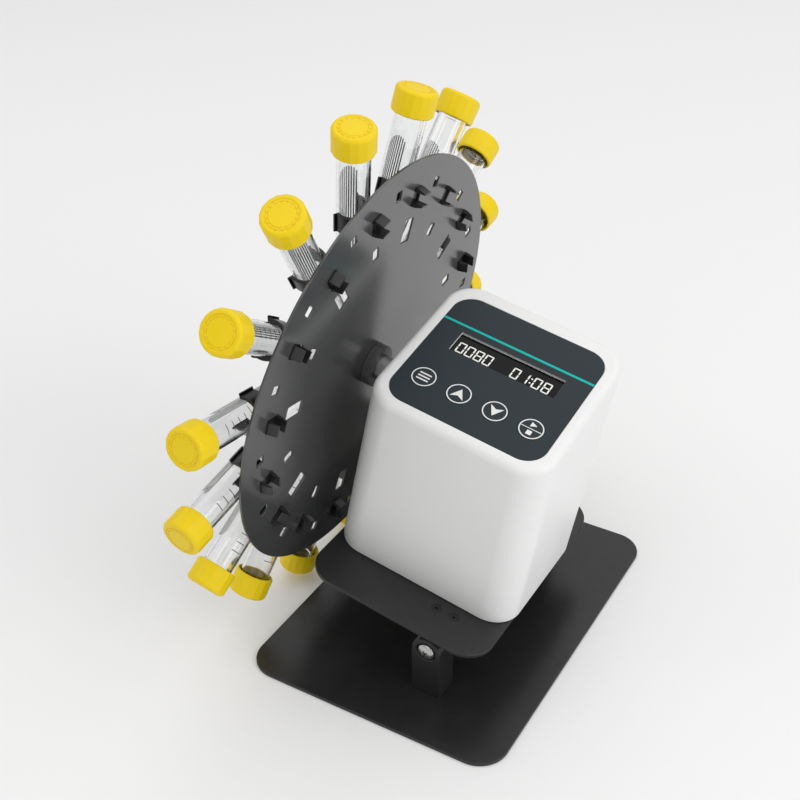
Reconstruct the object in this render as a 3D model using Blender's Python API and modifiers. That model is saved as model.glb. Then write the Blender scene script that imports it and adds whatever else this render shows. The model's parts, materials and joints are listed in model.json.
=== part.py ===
"""Rotary tube mixer: a tilting motor head on a sheet base turns a slotted disc that carries capped tubes.

World frame: X to the right with the disc on the left, Y to the back, Z up.
The origin is the centre of the base plate's underside. All sizes are in metres.
"""

import math

import bmesh
import bpy
from mathutils import Matrix

GAP = 0.0003  # clearance left between pieces that touch

# Base
BASE_SIZE = (0.1550, 0.2108, 0.0020)
BASE_CORNER = 0.0168

# Tilt pivot: the head leans towards +X about the Y axis through PIVOT
PIVOT = (0.0207, 0.0, 0.0321)
REST_TILT = math.radians(10.8)
POST_FACE_Y = 0.0744
POST_WIDTH = 0.0170
POST_DEPTH = 0.0160
PIVOT_HEAD_RADIUS = 0.0049
PIVOT_HEAD_HEIGHT = 0.0030
PIVOT_HEAD_SUNK = 0.0018
PIVOT_SHANK_RADIUS = 0.0025
PIVOT_RECESS_RADIUS = 0.0056
PIVOT_SHANK_SHORT = 0.0010  # how far the shank stops short of the lug's inner face

# Head, measured from the pivot
PLATE_SIZE = (0.1090, 0.1498, 0.0025)
PLATE_CENTRE_X = -0.0248
PLATE_TOP = 0.0121
PLATE_CORNER = 0.0168
LUG_LEFT = -0.0115
LUG_RIGHT = 0.0080
LUG_THICKNESS = 0.0080
LUG_ROUND = 0.0075
LUG_SHOULDER = 0.0030  # straight height above the lug's round
LUG_SCREWS_X = (-0.0072, 0.0035)
SCREW_HEAD_RADIUS = 0.0030
SCREW_SHANK_RADIUS = 0.0015
SCREW_RIM = 0.0003  # straight rim of the countersunk head
SCREW_SUNK = 0.0001
SCREW_LENGTH = 0.0052
HOUSING_CENTRE_X = -0.0242
HOUSING_FOOT = (0.1100, 0.0926)
HOUSING_TOP = (0.1029, 0.0992)
HOUSING_CORNER = 0.0167
HOUSING_TOP_Z = 0.1315  # on the centre line
HOUSING_EDGE = 0.0037
HOUSING_WALL = 0.0025

# Panel frame: its origin is the centre of the sloped face, its Z the face's outward normal
PANEL_SLOPE = math.atan(0.2145)
PANEL_CENTRE = (-0.0240, -0.0019)
PANEL_SIZE = (0.0883, 0.0845)
PANEL_THICKNESS = 0.0006
PANEL_CORNER = 0.0117
WINDOW_SIZE = (0.0611, 0.0142)
WINDOW_CENTRE = (0.0002, 0.0090)
KEY_RADIUS = 0.00685
KEY_PITCH = 0.02055
KEY_CENTRES_X = tuple(KEY_PITCH * place for place in (-1.5, -0.5, 0.5, 1.5))
KEY_ROW_Y = -0.0222
KEY_RISE = 0.00015
KEY_NAMES = ("menu_key", "up_key", "down_key", "start_stop_key")
BOARD_SIZE = (0.0740, 0.0680, 0.0014)
BOARD_DEPTH = 0.0060
DISPLAY_LEDGE = 0.0007  # how far the display reaches under the overlay on each side
CUTOUT_LEDGE = 0.0010
KEY_CHAMFER = 0.0002
KEY_SKIRT = 0.0016
KEY_STEM_RADIUS = 0.0016
KEY_STEM_END = 0.0031
SWITCH_SIZE = (0.0060, 0.0060, 0.0028)
SWITCH_DEPTH = 0.0051
PILLAR_RADIUS = 0.0028
PILLAR_INSET = 0.0045

# Drive, on the axis that runs along the head's X
AXIS_Z = 0.1006
SHAFT_RADIUS = 0.0070
SHAFT_NECK_RADIUS = 0.0030
SHAFT_THREAD_RADIUS = 0.0050
BUSH_RADIUS = 0.0085
BUSH_FLANGE_RADIUS = 0.0100
GEARBOX_RADIUS = 0.0185
GEARBOX_LENGTH = 0.0240
MOTOR_RADIUS = 0.0175
MOTOR_LENGTH = 0.0380
BRACKET_FACE_X = -0.0720
BRACKET_WIDTH = 0.0440
BRACKET_THICKNESS = 0.0030
JACK_HEIGHT = 0.0340
JACK_BARREL_RADIUS = 0.0054
JACK_FLANGE_RADIUS = 0.0068
JACK_BORE_RADIUS = 0.0032
JACK_PIN_RADIUS = 0.0010
JACK_FLANGE_HEIGHT = 0.0010
JACK_PIN_END = 0.0040
JACK_BORE_DEPTH = 0.0100
JACK_DEPTH = 0.0120
JACK_FACE_OUT = 0.0010  # the flange's seat stands off the nominal rear wall by this
GEARBOX_BORE_DEPTH = 0.0120
BRACKET_FOOT = 0.0300
BRACKET_HOLE_CLEARANCE = 0.0005
BUSH_INSIDE = 0.0035
BUSH_SEAT = 0.0006
BUSH_FLANGE_THICKNESS = 0.0008

# Rotor, measured from the middle of the disc's back face
DISC_BACK_X = -0.0963
DISC_RADIUS = 0.1182
DISC_THICKNESS = 0.0012
COLLAR_RADIUS = 0.0119
COLLAR_LENGTH = 0.0053
NECK_INSIDE = 0.0110  # how far the shaft's neck reaches into the gearbox
SHAFT_END = 0.0050
NUT_RADIUS = 0.0095
NUT_HEIGHT = 0.0042
TUBE_COUNT = 16
FIRST_TUBE = math.radians(12.45)
TUBE_AXIS_X = -0.0139
TUBE_RADIUS = 0.00825
TUBE_TIP = 0.0290
TUBE_END = 0.1490
CAP_RADIUS = 0.0110
CAP_HEIGHT = 0.0132
CAP_CHAMFER = 0.0015
CONE_LENGTH = 0.0220
CONE_NOSE = ((0.0026, 0.0008), (0.0014, 0.0))  # radius and height above the tip
CLIP_RING_RADIUS = 0.0975
CLIP_LENGTH = 0.0105
CLIP_WALL = 0.0016
CLIP_MOUTH = math.radians(70)
CLIP_FOOT_COSINE = -0.86
CLIP_LIP = ((1.07, 0.34), (1.01, 0.45))  # in outer radii: sideways, then away from the disc
PRONG_WIDTH = 0.0074
PRONG_REACH = 0.0075
PRONG_INNER = 0.0029
PRONG_OUTER = 0.0048
PRONG_ROOT = 0.0008  # how far the prong runs into the clip's foot
PRONG_TIP_WIDTH = 0.0008
PRONG_BARB = 0.0006
PRONG_BARB_HEIGHT = 0.0012
LARGE_SLOT = (0.0132, 0.0083)
SMALL_SLOT = (0.0071, 0.0054)
RIM_SLOT = (0.0059, 0.0052)
INNER_SLOTS_RADIUS = 0.0783
RIM_SLOTS_RADIUS = 0.1032


def clear_scene():
    for old in list(bpy.data.objects):
        bpy.data.objects.remove(old, do_unlink=True)
    for name in ("rotary_tube_mixer", "cutters"):
        made = bpy.data.collections.new(name)
        bpy.context.scene.collection.children.link(made)


def paint(name, colour, roughness, metallic=0.0):
    made = bpy.data.materials.new(name)
    made.use_nodes = True
    shader = made.node_tree.nodes["Principled BSDF"]
    shader.inputs["Base Color"].default_value = (*colour, 1.0)
    shader.inputs["Roughness"].default_value = roughness
    shader.inputs["Metallic"].default_value = metallic
    return made


def add_object(name, mesh, parent=None, material=None, location=(0, 0, 0), rotation=(0, 0, 0)):
    """An object in the part's collection or, with no material, a hidden one among the cutters."""
    made = bpy.data.objects.new(name, mesh)
    made.parent = parent
    made.location = location
    made.rotation_euler = rotation
    if material:
        mesh.materials.clear()
        mesh.materials.append(material)
        bpy.data.collections["rotary_tube_mixer"].objects.link(made)
    else:
        made.hide_render = True
        made.display_type = "WIRE"
        bpy.data.collections["cutters"].objects.link(made)
    return made


def add_empty(name, parent=None, location=(0, 0, 0), rotation=(0, 0, 0)):
    made = bpy.data.objects.new(name, None)
    made.empty_display_size = 0.01
    made.parent = parent
    made.location = location
    made.rotation_euler = rotation
    bpy.data.collections["rotary_tube_mixer"].objects.link(made)
    return made


def mesh_from(shape, name):
    mesh = bpy.data.meshes.new(name)
    shape.to_mesh(mesh)
    shape.free()
    return mesh


def box_mesh(name, size, centre=(0, 0, 0), corner=0.0, turn=None):
    """A box, with its four upright edges rounded to the corner radius."""
    shape = bmesh.new()
    bmesh.ops.create_cube(shape, size=1.0)
    bmesh.ops.scale(shape, vec=size, verts=shape.verts)
    if corner:
        uprights = [e for e in shape.edges if abs((e.verts[0].co - e.verts[1].co).z) > size[2] / 2]
        bmesh.ops.bevel(shape, geom=uprights, offset=corner, segments=5, profile=0.5, affect="EDGES")
    bmesh.ops.translate(shape, vec=centre, verts=shape.verts)
    if turn:
        bmesh.ops.transform(shape, matrix=turn, verts=shape.verts)
    return mesh_from(shape, name)


def cylinder_mesh(name, radius, start, end, axis="Z", sides=24, centre=(0, 0, 0)):
    """A cylinder along an axis, between two places on it."""
    shape = bmesh.new()
    bmesh.ops.create_cone(
        shape, cap_ends=True, segments=sides, radius1=radius, radius2=radius, depth=end - start
    )
    bmesh.ops.translate(shape, vec=(0, 0, (start + end) / 2), verts=shape.verts)
    turns = {"X": Matrix.Rotation(math.pi / 2, 4, "Y"), "Y": Matrix.Rotation(-math.pi / 2, 4, "X")}
    bmesh.ops.transform(shape, matrix=turns.get(axis, Matrix()), verts=shape.verts)
    bmesh.ops.translate(shape, vec=centre, verts=shape.verts)
    return mesh_from(shape, name)


def outline_mesh(name, points, thickness):
    """A flat outline in XY, filled and made as thick as given about Z = 0."""
    curve = bpy.data.curves.new(name, "CURVE")
    curve.dimensions = "2D"
    curve.fill_mode = "BOTH"
    curve.extrude = thickness / 2
    spline = curve.splines.new("POLY")
    spline.points.add(len(points) - 1)
    for point, (x, y) in zip(spline.points, points):
        point.co = (x, y, 0, 1)
    spline.use_cyclic_u = True
    drawn = bpy.data.objects.new(name, curve)
    bpy.context.scene.collection.objects.link(drawn)
    evaluated = drawn.evaluated_get(bpy.context.evaluated_depsgraph_get())
    mesh = bpy.data.meshes.new_from_object(evaluated)
    bpy.data.objects.remove(drawn)
    shape = bmesh.new()
    shape.from_mesh(mesh)
    bmesh.ops.remove_doubles(shape, verts=shape.verts, dist=1e-6)
    bmesh.ops.recalc_face_normals(shape, faces=shape.faces)
    shape.to_mesh(mesh)
    shape.free()
    return mesh


def arc(radius, start, end, steps, centre=(0, 0)):
    """Points on an arc, with angles measured from +X towards +Y."""
    angles = [start + (end - start) * k / steps for k in range(steps + 1)]
    return [(centre[0] + radius * math.cos(a), centre[1] + radius * math.sin(a)) for a in angles]


def turn_profile(name, profile, parent, material, location, rotation, sides):
    """A turned shape: (radius, height) points from the top of its axis to the bottom."""
    shape = bmesh.new()
    corners = [shape.verts.new((radius, 0, height)) for radius, height in profile]
    for first, second in zip(corners, corners[1:]):
        shape.edges.new((first, second))
    made = add_object(name, mesh_from(shape, name), parent, material, location, rotation)
    screw = made.modifiers.new("turn", "SCREW")
    screw.steps = sides
    screw.render_steps = sides
    screw.use_merge_vertices = True
    screw.merge_threshold = 1e-5
    screw.use_smooth_shade = True
    return made


def combine(target, other, operation):
    made = target.modifiers.new(other.name, "BOOLEAN")
    made.operation = operation
    made.object = other
    made.solver = "EXACT"


def cut(target, name, mesh, parent=None):
    combine(target, add_object(name, mesh, parent), "DIFFERENCE")


def join(target, name, mesh, parent=None):
    combine(target, add_object(name, mesh, parent), "UNION")


def merged_mesh(name, meshes):
    """Several separate shapes in one mesh, for a cutter that makes many holes at once."""
    shape = bmesh.new()
    for mesh in meshes:
        shape.from_mesh(mesh)
        bpy.data.meshes.remove(mesh)
    return mesh_from(shape, name)


def make_base():
    black = paint("base_black", (0.020, 0.020, 0.021), 0.42, 0.3)
    plate = box_mesh("base_plate", BASE_SIZE, (0, 0, BASE_SIZE[2] / 2), BASE_CORNER)
    add_object("base_plate", plate, None, black)


def make_posts():
    """The two posts on the base, drawn in XZ about the pivot, and their screws along Y."""
    black = paint("post_black", (0.022, 0.022, 0.023), 0.38, 0.3)
    steel = paint("pivot_screw_steel", (0.62, 0.62, 0.60), 0.25, 1.0)
    foot = BASE_SIZE[2] + GAP - PIVOT[2]
    half = POST_WIDTH / 2
    outline = [(-half, foot), (half, foot), *arc(half, 0, math.pi, 14)]
    for side, word in ((-1, "front"), (1, "rear")):
        centre_y = side * (POST_FACE_Y - POST_DEPTH / 2)
        upright = (math.pi / 2, 0, 0)
        mesh = outline_mesh(f"{word}_post", outline, POST_DEPTH)
        post = add_object(f"{word}_post", mesh, None, black, (PIVOT[0], centre_y, PIVOT[2]), upright)
        axis = (PIVOT[0], 0, PIVOT[2])
        inner, outer = sorted((centre_y - side * POST_DEPTH, centre_y + side * POST_DEPTH))
        hole = cylinder_mesh(
            f"{word}_post_hole", PIVOT_SHANK_RADIUS + GAP, inner, outer, "Y", 20, axis
        )
        floor = side * (POST_FACE_Y - PIVOT_HEAD_SUNK - GAP)
        start, end = sorted((floor, floor + side * POST_DEPTH))
        recess = cylinder_mesh(f"{word}_post_recess", PIVOT_RECESS_RADIUS, start, end, "Y", centre=axis)
        cut(post, hole.name, hole)
        cut(post, recess.name, recess)
        seat = PIVOT_HEAD_HEIGHT
        shank_end = -(POST_DEPTH + LUG_THICKNESS - PIVOT_SHANK_SHORT)
        profile = [
            (0, seat),
            (PIVOT_HEAD_RADIUS * 0.55, seat),
            (PIVOT_HEAD_RADIUS * 0.88, seat * 0.72),
            (PIVOT_HEAD_RADIUS, seat * 0.30),
            (PIVOT_HEAD_RADIUS, 0),
            (PIVOT_SHANK_RADIUS, 0),
            (PIVOT_SHANK_RADIUS, shank_end),
            (0, shank_end),
        ]
        turn_profile(
            f"{word}_pivot_screw",
            profile,
            None,
            steel,
            (PIVOT[0], side * (POST_FACE_Y - PIVOT_HEAD_SUNK), PIVOT[2]),
            (side * -math.pi / 2, 0, 0),
            24,
        )


def make_tilt_plate(head):
    """The plate under the housing, and the two lugs that hang from it with their screws."""
    black = paint("tilt_plate_black", (0.024, 0.024, 0.025), 0.40, 0.3)
    lug_black = paint("lug_black", (0.020, 0.020, 0.021), 0.45, 0.3)
    screw_black = paint("lug_screw_black", (0.018, 0.018, 0.018), 0.35, 0.8)
    thickness = PLATE_SIZE[2]
    middle = (PLATE_CENTRE_X, 0, PLATE_TOP - thickness / 2)
    plate = add_object("tilt_plate", box_mesh("tilt_plate", PLATE_SIZE, middle, PLATE_CORNER), head, black)
    top = PLATE_TOP - thickness - GAP
    shoulder = top - LUG_SHOULDER
    left_side = [(LUG_LEFT, top), (LUG_LEFT, shoulder)]
    right_side = [(LUG_RIGHT, shoulder), (LUG_RIGHT, top)]
    outline = left_side + arc(LUG_ROUND, -math.pi, 0, 12) + right_side
    for side, word in ((-1, "front"), (1, "rear")):
        centre_y = side * (POST_FACE_Y - POST_DEPTH - GAP - LUG_THICKNESS / 2)
        mesh = outline_mesh(f"{word}_lug", outline, LUG_THICKNESS)
        mesh.transform(Matrix.Translation((0, centre_y, 0)) @ Matrix.Rotation(math.pi / 2, 4, "X"))
        lug = add_object(f"{word}_lug", mesh, head, lug_black)
        bore = cylinder_mesh(
            f"{word}_lug_bore",
            PIVOT_SHANK_RADIUS + GAP,
            -LUG_THICKNESS,
            LUG_THICKNESS,
            "Y",
            20,
            (0, centre_y, 0),
        )
        cut(lug, f"{word}_lug_bore", bore, head)
        for number, x in enumerate(LUG_SCREWS_X, 1):
            place = (x, centre_y, PLATE_TOP)
            screw = screw_mesh(f"{word}_lug_screw_{number}", 0.0, -SCREW_SUNK)
            add_object(f"{word}_lug_screw_{number}", screw, head, screw_black, place)
            hole = screw_mesh(f"{word}_screw_hole_{number}", GAP, PLATE_SIZE[2])
            hole.transform(Matrix.Translation(place))
            combine_with_both(lug, plate, add_object(f"{word}_screw_hole_{number}", hole, head))


def combine_with_both(first, second, cutter):
    combine(first, cutter, "DIFFERENCE")
    combine(second, cutter, "DIFFERENCE")


def screw_mesh(name, grow, top):
    """A countersunk screw whose head ends at the given height, or the hole for it, larger by grow."""
    head = SCREW_HEAD_RADIUS + grow
    shank = SCREW_SHANK_RADIUS + grow
    cone = SCREW_HEAD_RADIUS - SCREW_SHANK_RADIUS
    rim = -SCREW_RIM - grow
    levels = [(head, top), (head, rim), (shank, rim - cone), (shank, -SCREW_LENGTH - grow)]
    shape = bmesh.new()
    rings = []
    for radius, height in levels:
        ring = bmesh.ops.create_circle(shape, segments=20, radius=radius)["verts"]
        bmesh.ops.translate(shape, vec=(0, 0, height), verts=ring)
        rings.append(ring)
    for upper, lower in zip(rings, rings[1:]):
        edges = [e for ring in (upper, lower) for e in {e for v in ring for e in v.link_edges}]
        edges = [e for e in edges if abs(e.verts[0].co.z - e.verts[1].co.z) < 1e-7]
        bmesh.ops.bridge_loops(shape, edges=edges)
    shape.faces.new(rings[0])
    shape.faces.new(rings[-1])
    bmesh.ops.recalc_face_normals(shape, faces=shape.faces)
    return mesh_from(shape, name)


def make_housing(head, panel):
    """The moulded cover: a box that narrows upwards, open below, with a sloped top."""
    white = paint("housing_white", (0.82, 0.82, 0.80), 0.38)
    shape = bmesh.new()
    bmesh.ops.create_cube(shape, size=2.0)
    foot_z = PLATE_TOP + GAP
    for corner in shape.verts:
        upper = corner.co.z > 0
        width, length = HOUSING_TOP if upper else HOUSING_FOOT
        corner.co.x *= width / 2
        corner.co.y *= length / 2
        corner.co.z = HOUSING_TOP_Z + math.tan(PANEL_SLOPE) * corner.co.y if upper else foot_z
    bmesh.ops.delete(shape, geom=[f for f in shape.faces if f.normal.z < -0.9], context="FACES_ONLY")
    uprights = [e for e in shape.edges if abs(e.verts[0].co.z - e.verts[1].co.z) > 0.05]
    bmesh.ops.bevel(shape, geom=uprights, offset=HOUSING_CORNER, segments=5, profile=0.5, affect="EDGES")
    top = max(shape.faces, key=lambda f: f.calc_center_median().z)
    bmesh.ops.bevel(
        shape, geom=list(top.edges), offset=HOUSING_EDGE, segments=3, profile=0.5, affect="EDGES"
    )
    bmesh.ops.translate(shape, vec=(HOUSING_CENTRE_X, 0, 0), verts=shape.verts)
    bmesh.ops.recalc_face_normals(shape, faces=shape.faces)
    housing = add_object("housing", mesh_from(shape, "housing"), head, white)
    shell = housing.modifiers.new("wall", "SOLIDIFY")
    shell.thickness = HOUSING_WALL
    shell.offset = -1
    shell.use_even_offset = True
    for number, (sign_x, sign_y) in enumerate(((-1, -1), (1, -1), (-1, 1), (1, 1)), 1):
        place = (
            sign_x * (BOARD_SIZE[0] / 2 - PILLAR_INSET),
            sign_y * (BOARD_SIZE[1] / 2 - PILLAR_INSET),
            0,
        )
        depth = BOARD_DEPTH - GAP
        name = f"board_pillar_{number}"
        pillar = cylinder_mesh(name, PILLAR_RADIUS, -depth, -HOUSING_WALL / 2, sides=12, centre=place)
        join(housing, name, pillar, panel)
    reach = 2 * HOUSING_WALL
    recess = (PANEL_SIZE[0] + 2 * GAP, PANEL_SIZE[1] + 2 * GAP, 2 * reach)
    floor = (0, 0, reach - PANEL_THICKNESS - GAP)
    cut(housing, "panel_recess", box_mesh("panel_recess", recess, floor, PANEL_CORNER + GAP), panel)
    window = (WINDOW_SIZE[0] + 2 * CUTOUT_LEDGE, WINDOW_SIZE[1] + 2 * CUTOUT_LEDGE, 2 * reach)
    cut(housing, "display_cutout", box_mesh("display_cutout", window, (*WINDOW_CENTRE, 0)), panel)
    cut(housing, "key_holes", key_holes_mesh("key_holes", reach), panel)
    shaft_hole = cylinder_mesh(
        "shaft_hole", BUSH_RADIUS + GAP, -0.0900, -0.0600, "X", centre=(0, 0, AXIS_Z)
    )
    cut(housing, "shaft_hole", shaft_hole, head)
    jack_hole = cylinder_mesh(
        "jack_hole", JACK_BARREL_RADIUS + GAP, 0.0350, 0.0600, "Y", centre=(HOUSING_CENTRE_X, 0, JACK_HEIGHT)
    )
    cut(housing, "jack_hole", jack_hole, head)


def key_holes_mesh(name, reach):
    """The four round key holes as one cutter."""
    holes = [
        cylinder_mesh("hole", KEY_RADIUS + GAP, -reach, reach, centre=(x, KEY_ROW_Y, 0), sides=28)
        for x in KEY_CENTRES_X
    ]
    return merged_mesh(name, holes)


def make_panel(panel):
    """The overlay, the display, the four keys and the circuit board, in the panel's frame."""
    slate = paint("panel_slate", (0.040, 0.053, 0.062), 0.45)
    glass = paint("display_black", (0.006, 0.006, 0.006), 0.12)
    green = paint("board_green", (0.02, 0.12, 0.05), 0.5)
    overlay_mesh = box_mesh(
        "control_panel", (*PANEL_SIZE, PANEL_THICKNESS), (0, 0, -PANEL_THICKNESS / 2), PANEL_CORNER
    )
    overlay = add_object("control_panel", overlay_mesh, panel, slate)
    window = box_mesh("window", (*WINDOW_SIZE, 4 * PANEL_THICKNESS), (*WINDOW_CENTRE, 0))
    cut(overlay, "panel_window", window, panel)
    cut(overlay, "panel_key_holes", key_holes_mesh("panel_key_holes", 2 * PANEL_THICKNESS), panel)

    face_top = -PANEL_THICKNESS - GAP
    face_bottom = -BOARD_DEPTH + GAP
    ledge = 2 * DISPLAY_LEDGE
    display_size = (WINDOW_SIZE[0] + ledge, WINDOW_SIZE[1] + ledge, face_top - face_bottom)
    display_middle = (*WINDOW_CENTRE, (face_top + face_bottom) / 2)
    add_object("display", box_mesh("display", display_size, display_middle), panel, glass)

    for name, x in zip(KEY_NAMES, KEY_CENTRES_X):
        key_paint = paint(f"{name}_slate", (0.042, 0.055, 0.064), 0.45)
        profile = [
            (0, KEY_RISE),
            (KEY_RADIUS - KEY_CHAMFER, KEY_RISE),
            (KEY_RADIUS, KEY_RISE - KEY_CHAMFER),
            (KEY_RADIUS, -KEY_SKIRT),
            (KEY_STEM_RADIUS, -KEY_SKIRT),
            (KEY_STEM_RADIUS, -KEY_STEM_END),
            (0, -KEY_STEM_END),
        ]
        turn_profile(name, profile, panel, key_paint, (x, KEY_ROW_Y, 0), (0, 0, 0), 28)

    board_middle = (0, 0, -BOARD_DEPTH - BOARD_SIZE[2] / 2)
    board = add_object("control_board", box_mesh("control_board", BOARD_SIZE, board_middle), panel, green)
    switches = [box_mesh("switch", SWITCH_SIZE, (x, KEY_ROW_Y, -SWITCH_DEPTH)) for x in KEY_CENTRES_X]
    join(board, "switches", merged_mesh("switches", switches), panel)


def make_drive(head):
    """Gear motor on its bracket, bush in the wall, and the power inlet in the rear wall."""
    zinc = paint("motor_zinc", (0.45, 0.46, 0.47), 0.35, 1.0)
    bracket_steel = paint("bracket_steel", (0.50, 0.50, 0.51), 0.45, 1.0)
    bush_black = paint("bush_black", (0.020, 0.020, 0.020), 0.5)
    jack_black = paint("jack_black", (0.020, 0.020, 0.020), 0.4)
    along_x = (0, math.pi / 2, 0)

    gearbox_front = BRACKET_FACE_X + BRACKET_THICKNESS + GAP
    gearbox_back = gearbox_front + GEARBOX_LENGTH
    motor_end = gearbox_back + MOTOR_LENGTH
    bore = SHAFT_NECK_RADIUS + GAP
    profile = [
        (0, motor_end),
        (MOTOR_RADIUS, motor_end),
        (MOTOR_RADIUS, gearbox_back),
        (GEARBOX_RADIUS, gearbox_back),
        (GEARBOX_RADIUS, gearbox_front),
        (bore, gearbox_front),
        (bore, gearbox_front + GEARBOX_BORE_DEPTH),
        (0, gearbox_front + GEARBOX_BORE_DEPTH),
    ]
    turn_profile("gear_motor", profile, head, zinc, (0, 0, AXIS_Z), along_x, 28)

    foot_z = PLATE_TOP + GAP
    height = AXIS_Z + GEARBOX_RADIUS - foot_z
    upright = box_mesh(
        "motor_bracket",
        (BRACKET_THICKNESS, BRACKET_WIDTH, height),
        (BRACKET_FACE_X + BRACKET_THICKNESS / 2, 0, foot_z + height / 2),
    )
    bracket = add_object("motor_bracket", upright, head, bracket_steel)
    foot = box_mesh(
        "bracket_foot",
        (BRACKET_FOOT, BRACKET_WIDTH - GAP, BRACKET_THICKNESS - GAP),
        (BRACKET_FACE_X + BRACKET_THICKNESS / 2 + BRACKET_FOOT / 2, 0, foot_z + BRACKET_THICKNESS / 2),
    )
    join(bracket, "bracket_foot", foot, head)
    clearance = cylinder_mesh(
        "bracket_hole",
        SHAFT_RADIUS + BRACKET_HOLE_CLEARANCE,
        BRACKET_FACE_X - BRACKET_THICKNESS,
        BRACKET_FACE_X + 2 * BRACKET_THICKNESS,
        "X",
        centre=(0, 0, AXIS_Z),
    )
    cut(bracket, "bracket_hole", clearance, head)

    share = (AXIS_Z - PLATE_TOP) / (HOUSING_TOP_Z - PLATE_TOP)
    half_width = (HOUSING_FOOT[0] + share * (HOUSING_TOP[0] - HOUSING_FOOT[0])) / 2
    wall_x = HOUSING_CENTRE_X - half_width
    seat_x = wall_x - BUSH_SEAT
    flange_x = seat_x - BUSH_FLANGE_THICKNESS
    profile = [
        (SHAFT_RADIUS + GAP, wall_x + BUSH_INSIDE),
        (BUSH_RADIUS, wall_x + BUSH_INSIDE),
        (BUSH_RADIUS, seat_x),
        (BUSH_FLANGE_RADIUS, seat_x),
        (BUSH_FLANGE_RADIUS, flange_x),
        (SHAFT_RADIUS + GAP, flange_x),
        (SHAFT_RADIUS + GAP, wall_x + BUSH_INSIDE),
    ]
    turn_profile("shaft_bush", profile, head, bush_black, (0, 0, AXIS_Z), along_x, 28)

    wall_y = HOUSING_FOOT[1] / 2 + JACK_FACE_OUT
    profile = [
        (0, -JACK_PIN_END),
        (JACK_PIN_RADIUS, -JACK_PIN_END),
        (JACK_PIN_RADIUS, -JACK_BORE_DEPTH),
        (JACK_BORE_RADIUS, -JACK_BORE_DEPTH),
        (JACK_BORE_RADIUS, JACK_FLANGE_HEIGHT),
        (JACK_FLANGE_RADIUS, JACK_FLANGE_HEIGHT),
        (JACK_FLANGE_RADIUS, 0),
        (JACK_BARREL_RADIUS, 0),
        (JACK_BARREL_RADIUS, -JACK_DEPTH),
        (0, -JACK_DEPTH),
    ]
    location = (HOUSING_CENTRE_X, wall_y, JACK_HEIGHT)
    turn_profile("power_jack", profile, head, jack_black, location, (-math.pi / 2, 0, 0), 24)


def make_rotor(rotor):
    """Everything that turns on the drive axis, in a frame at the middle of the disc's back face."""
    shaft_steel = paint("drive_shaft_steel", (0.10, 0.10, 0.105), 0.35, 1.0)
    collar_black = paint("hub_collar_black", (0.030, 0.030, 0.032), 0.35, 0.6)
    disc_grey = paint("disc_grey", (0.070, 0.072, 0.074), 0.36, 0.2)
    nut_steel = paint("disc_nut_steel", (0.55, 0.55, 0.55), 0.3, 1.0)
    along_x = (0, math.pi / 2, 0)
    gearbox_face = BRACKET_FACE_X + BRACKET_THICKNESS + GAP - DISC_BACK_X

    nut_face = -DISC_THICKNESS - GAP
    neck_start = gearbox_face - BRACKET_THICKNESS / 3
    shoulder = COLLAR_LENGTH / 2
    profile = [
        (0, gearbox_face + NECK_INSIDE),
        (SHAFT_NECK_RADIUS, gearbox_face + NECK_INSIDE),
        (SHAFT_NECK_RADIUS, neck_start),
        (SHAFT_RADIUS, neck_start),
        (SHAFT_RADIUS, shoulder),
        (SHAFT_THREAD_RADIUS, shoulder),
        (SHAFT_THREAD_RADIUS, nut_face - SHAFT_END),
        (0, nut_face - SHAFT_END),
    ]
    turn_profile("drive_shaft", profile, rotor, shaft_steel, (0, 0, 0), along_x, 28)
    bore = SHAFT_RADIUS + GAP
    profile = [
        (bore, COLLAR_LENGTH + GAP),
        (COLLAR_RADIUS, COLLAR_LENGTH + GAP),
        (COLLAR_RADIUS, GAP),
        (SHAFT_THREAD_RADIUS + GAP, GAP),
        (SHAFT_THREAD_RADIUS + GAP, shoulder - GAP),
        (bore, shoulder - GAP),
        (bore, COLLAR_LENGTH + GAP),
    ]
    turn_profile("hub_collar", profile, rotor, collar_black, (0, 0, 0), along_x, 32)
    nut = cylinder_mesh("disc_nut", NUT_RADIUS, nut_face - NUT_HEIGHT, nut_face, "X", 6)
    nut = add_object("disc_nut", nut, rotor, nut_steel)
    thread_hole = SHAFT_THREAD_RADIUS + GAP
    reach = 2 * COLLAR_RADIUS
    cut(nut, "nut_bore", cylinder_mesh("nut_bore", thread_hole, -reach, reach, "X", 24), rotor)

    blank = cylinder_mesh("disc", DISC_RADIUS, -DISC_THICKNESS, 0, "X", 80)
    disc = add_object("disc", blank, rotor, disc_grey)
    bore = cylinder_mesh("disc_bore", thread_hole, -reach, reach, "X", 24)
    cut(disc, "disc_holes", merged_mesh("disc_holes", [bore, *slot_boxes()]), rotor)


def around(angle):
    """Turns a shape drawn with its radial direction along Z to its place around the axis."""
    return Matrix.Rotation(angle - math.pi / 2, 4, "X")


def slot_boxes():
    """One box for each hole in the disc: radius of its middle, then its length and its width."""
    step = 2 * math.pi / TUBE_COUNT
    prong_slot = (2 * (PRONG_OUTER + GAP), PRONG_WIDTH + 2 * GAP)
    boxes = []
    for index in range(TUBE_COUNT):
        angle = FIRST_TUBE + index * step
        inner = LARGE_SLOT if index % 2 else SMALL_SLOT
        holes = (
            (angle, CLIP_RING_RADIUS, *prong_slot),
            (angle, INNER_SLOTS_RADIUS, *inner),
            (angle - step / 2, RIM_SLOTS_RADIUS, *RIM_SLOT),
        )
        for place, radius, length, width in holes:
            size = (6 * DISC_THICKNESS, width, length)
            boxes.append(box_mesh("slot", size, (0, 0, radius), turn=around(place)))
    return boxes


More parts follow.
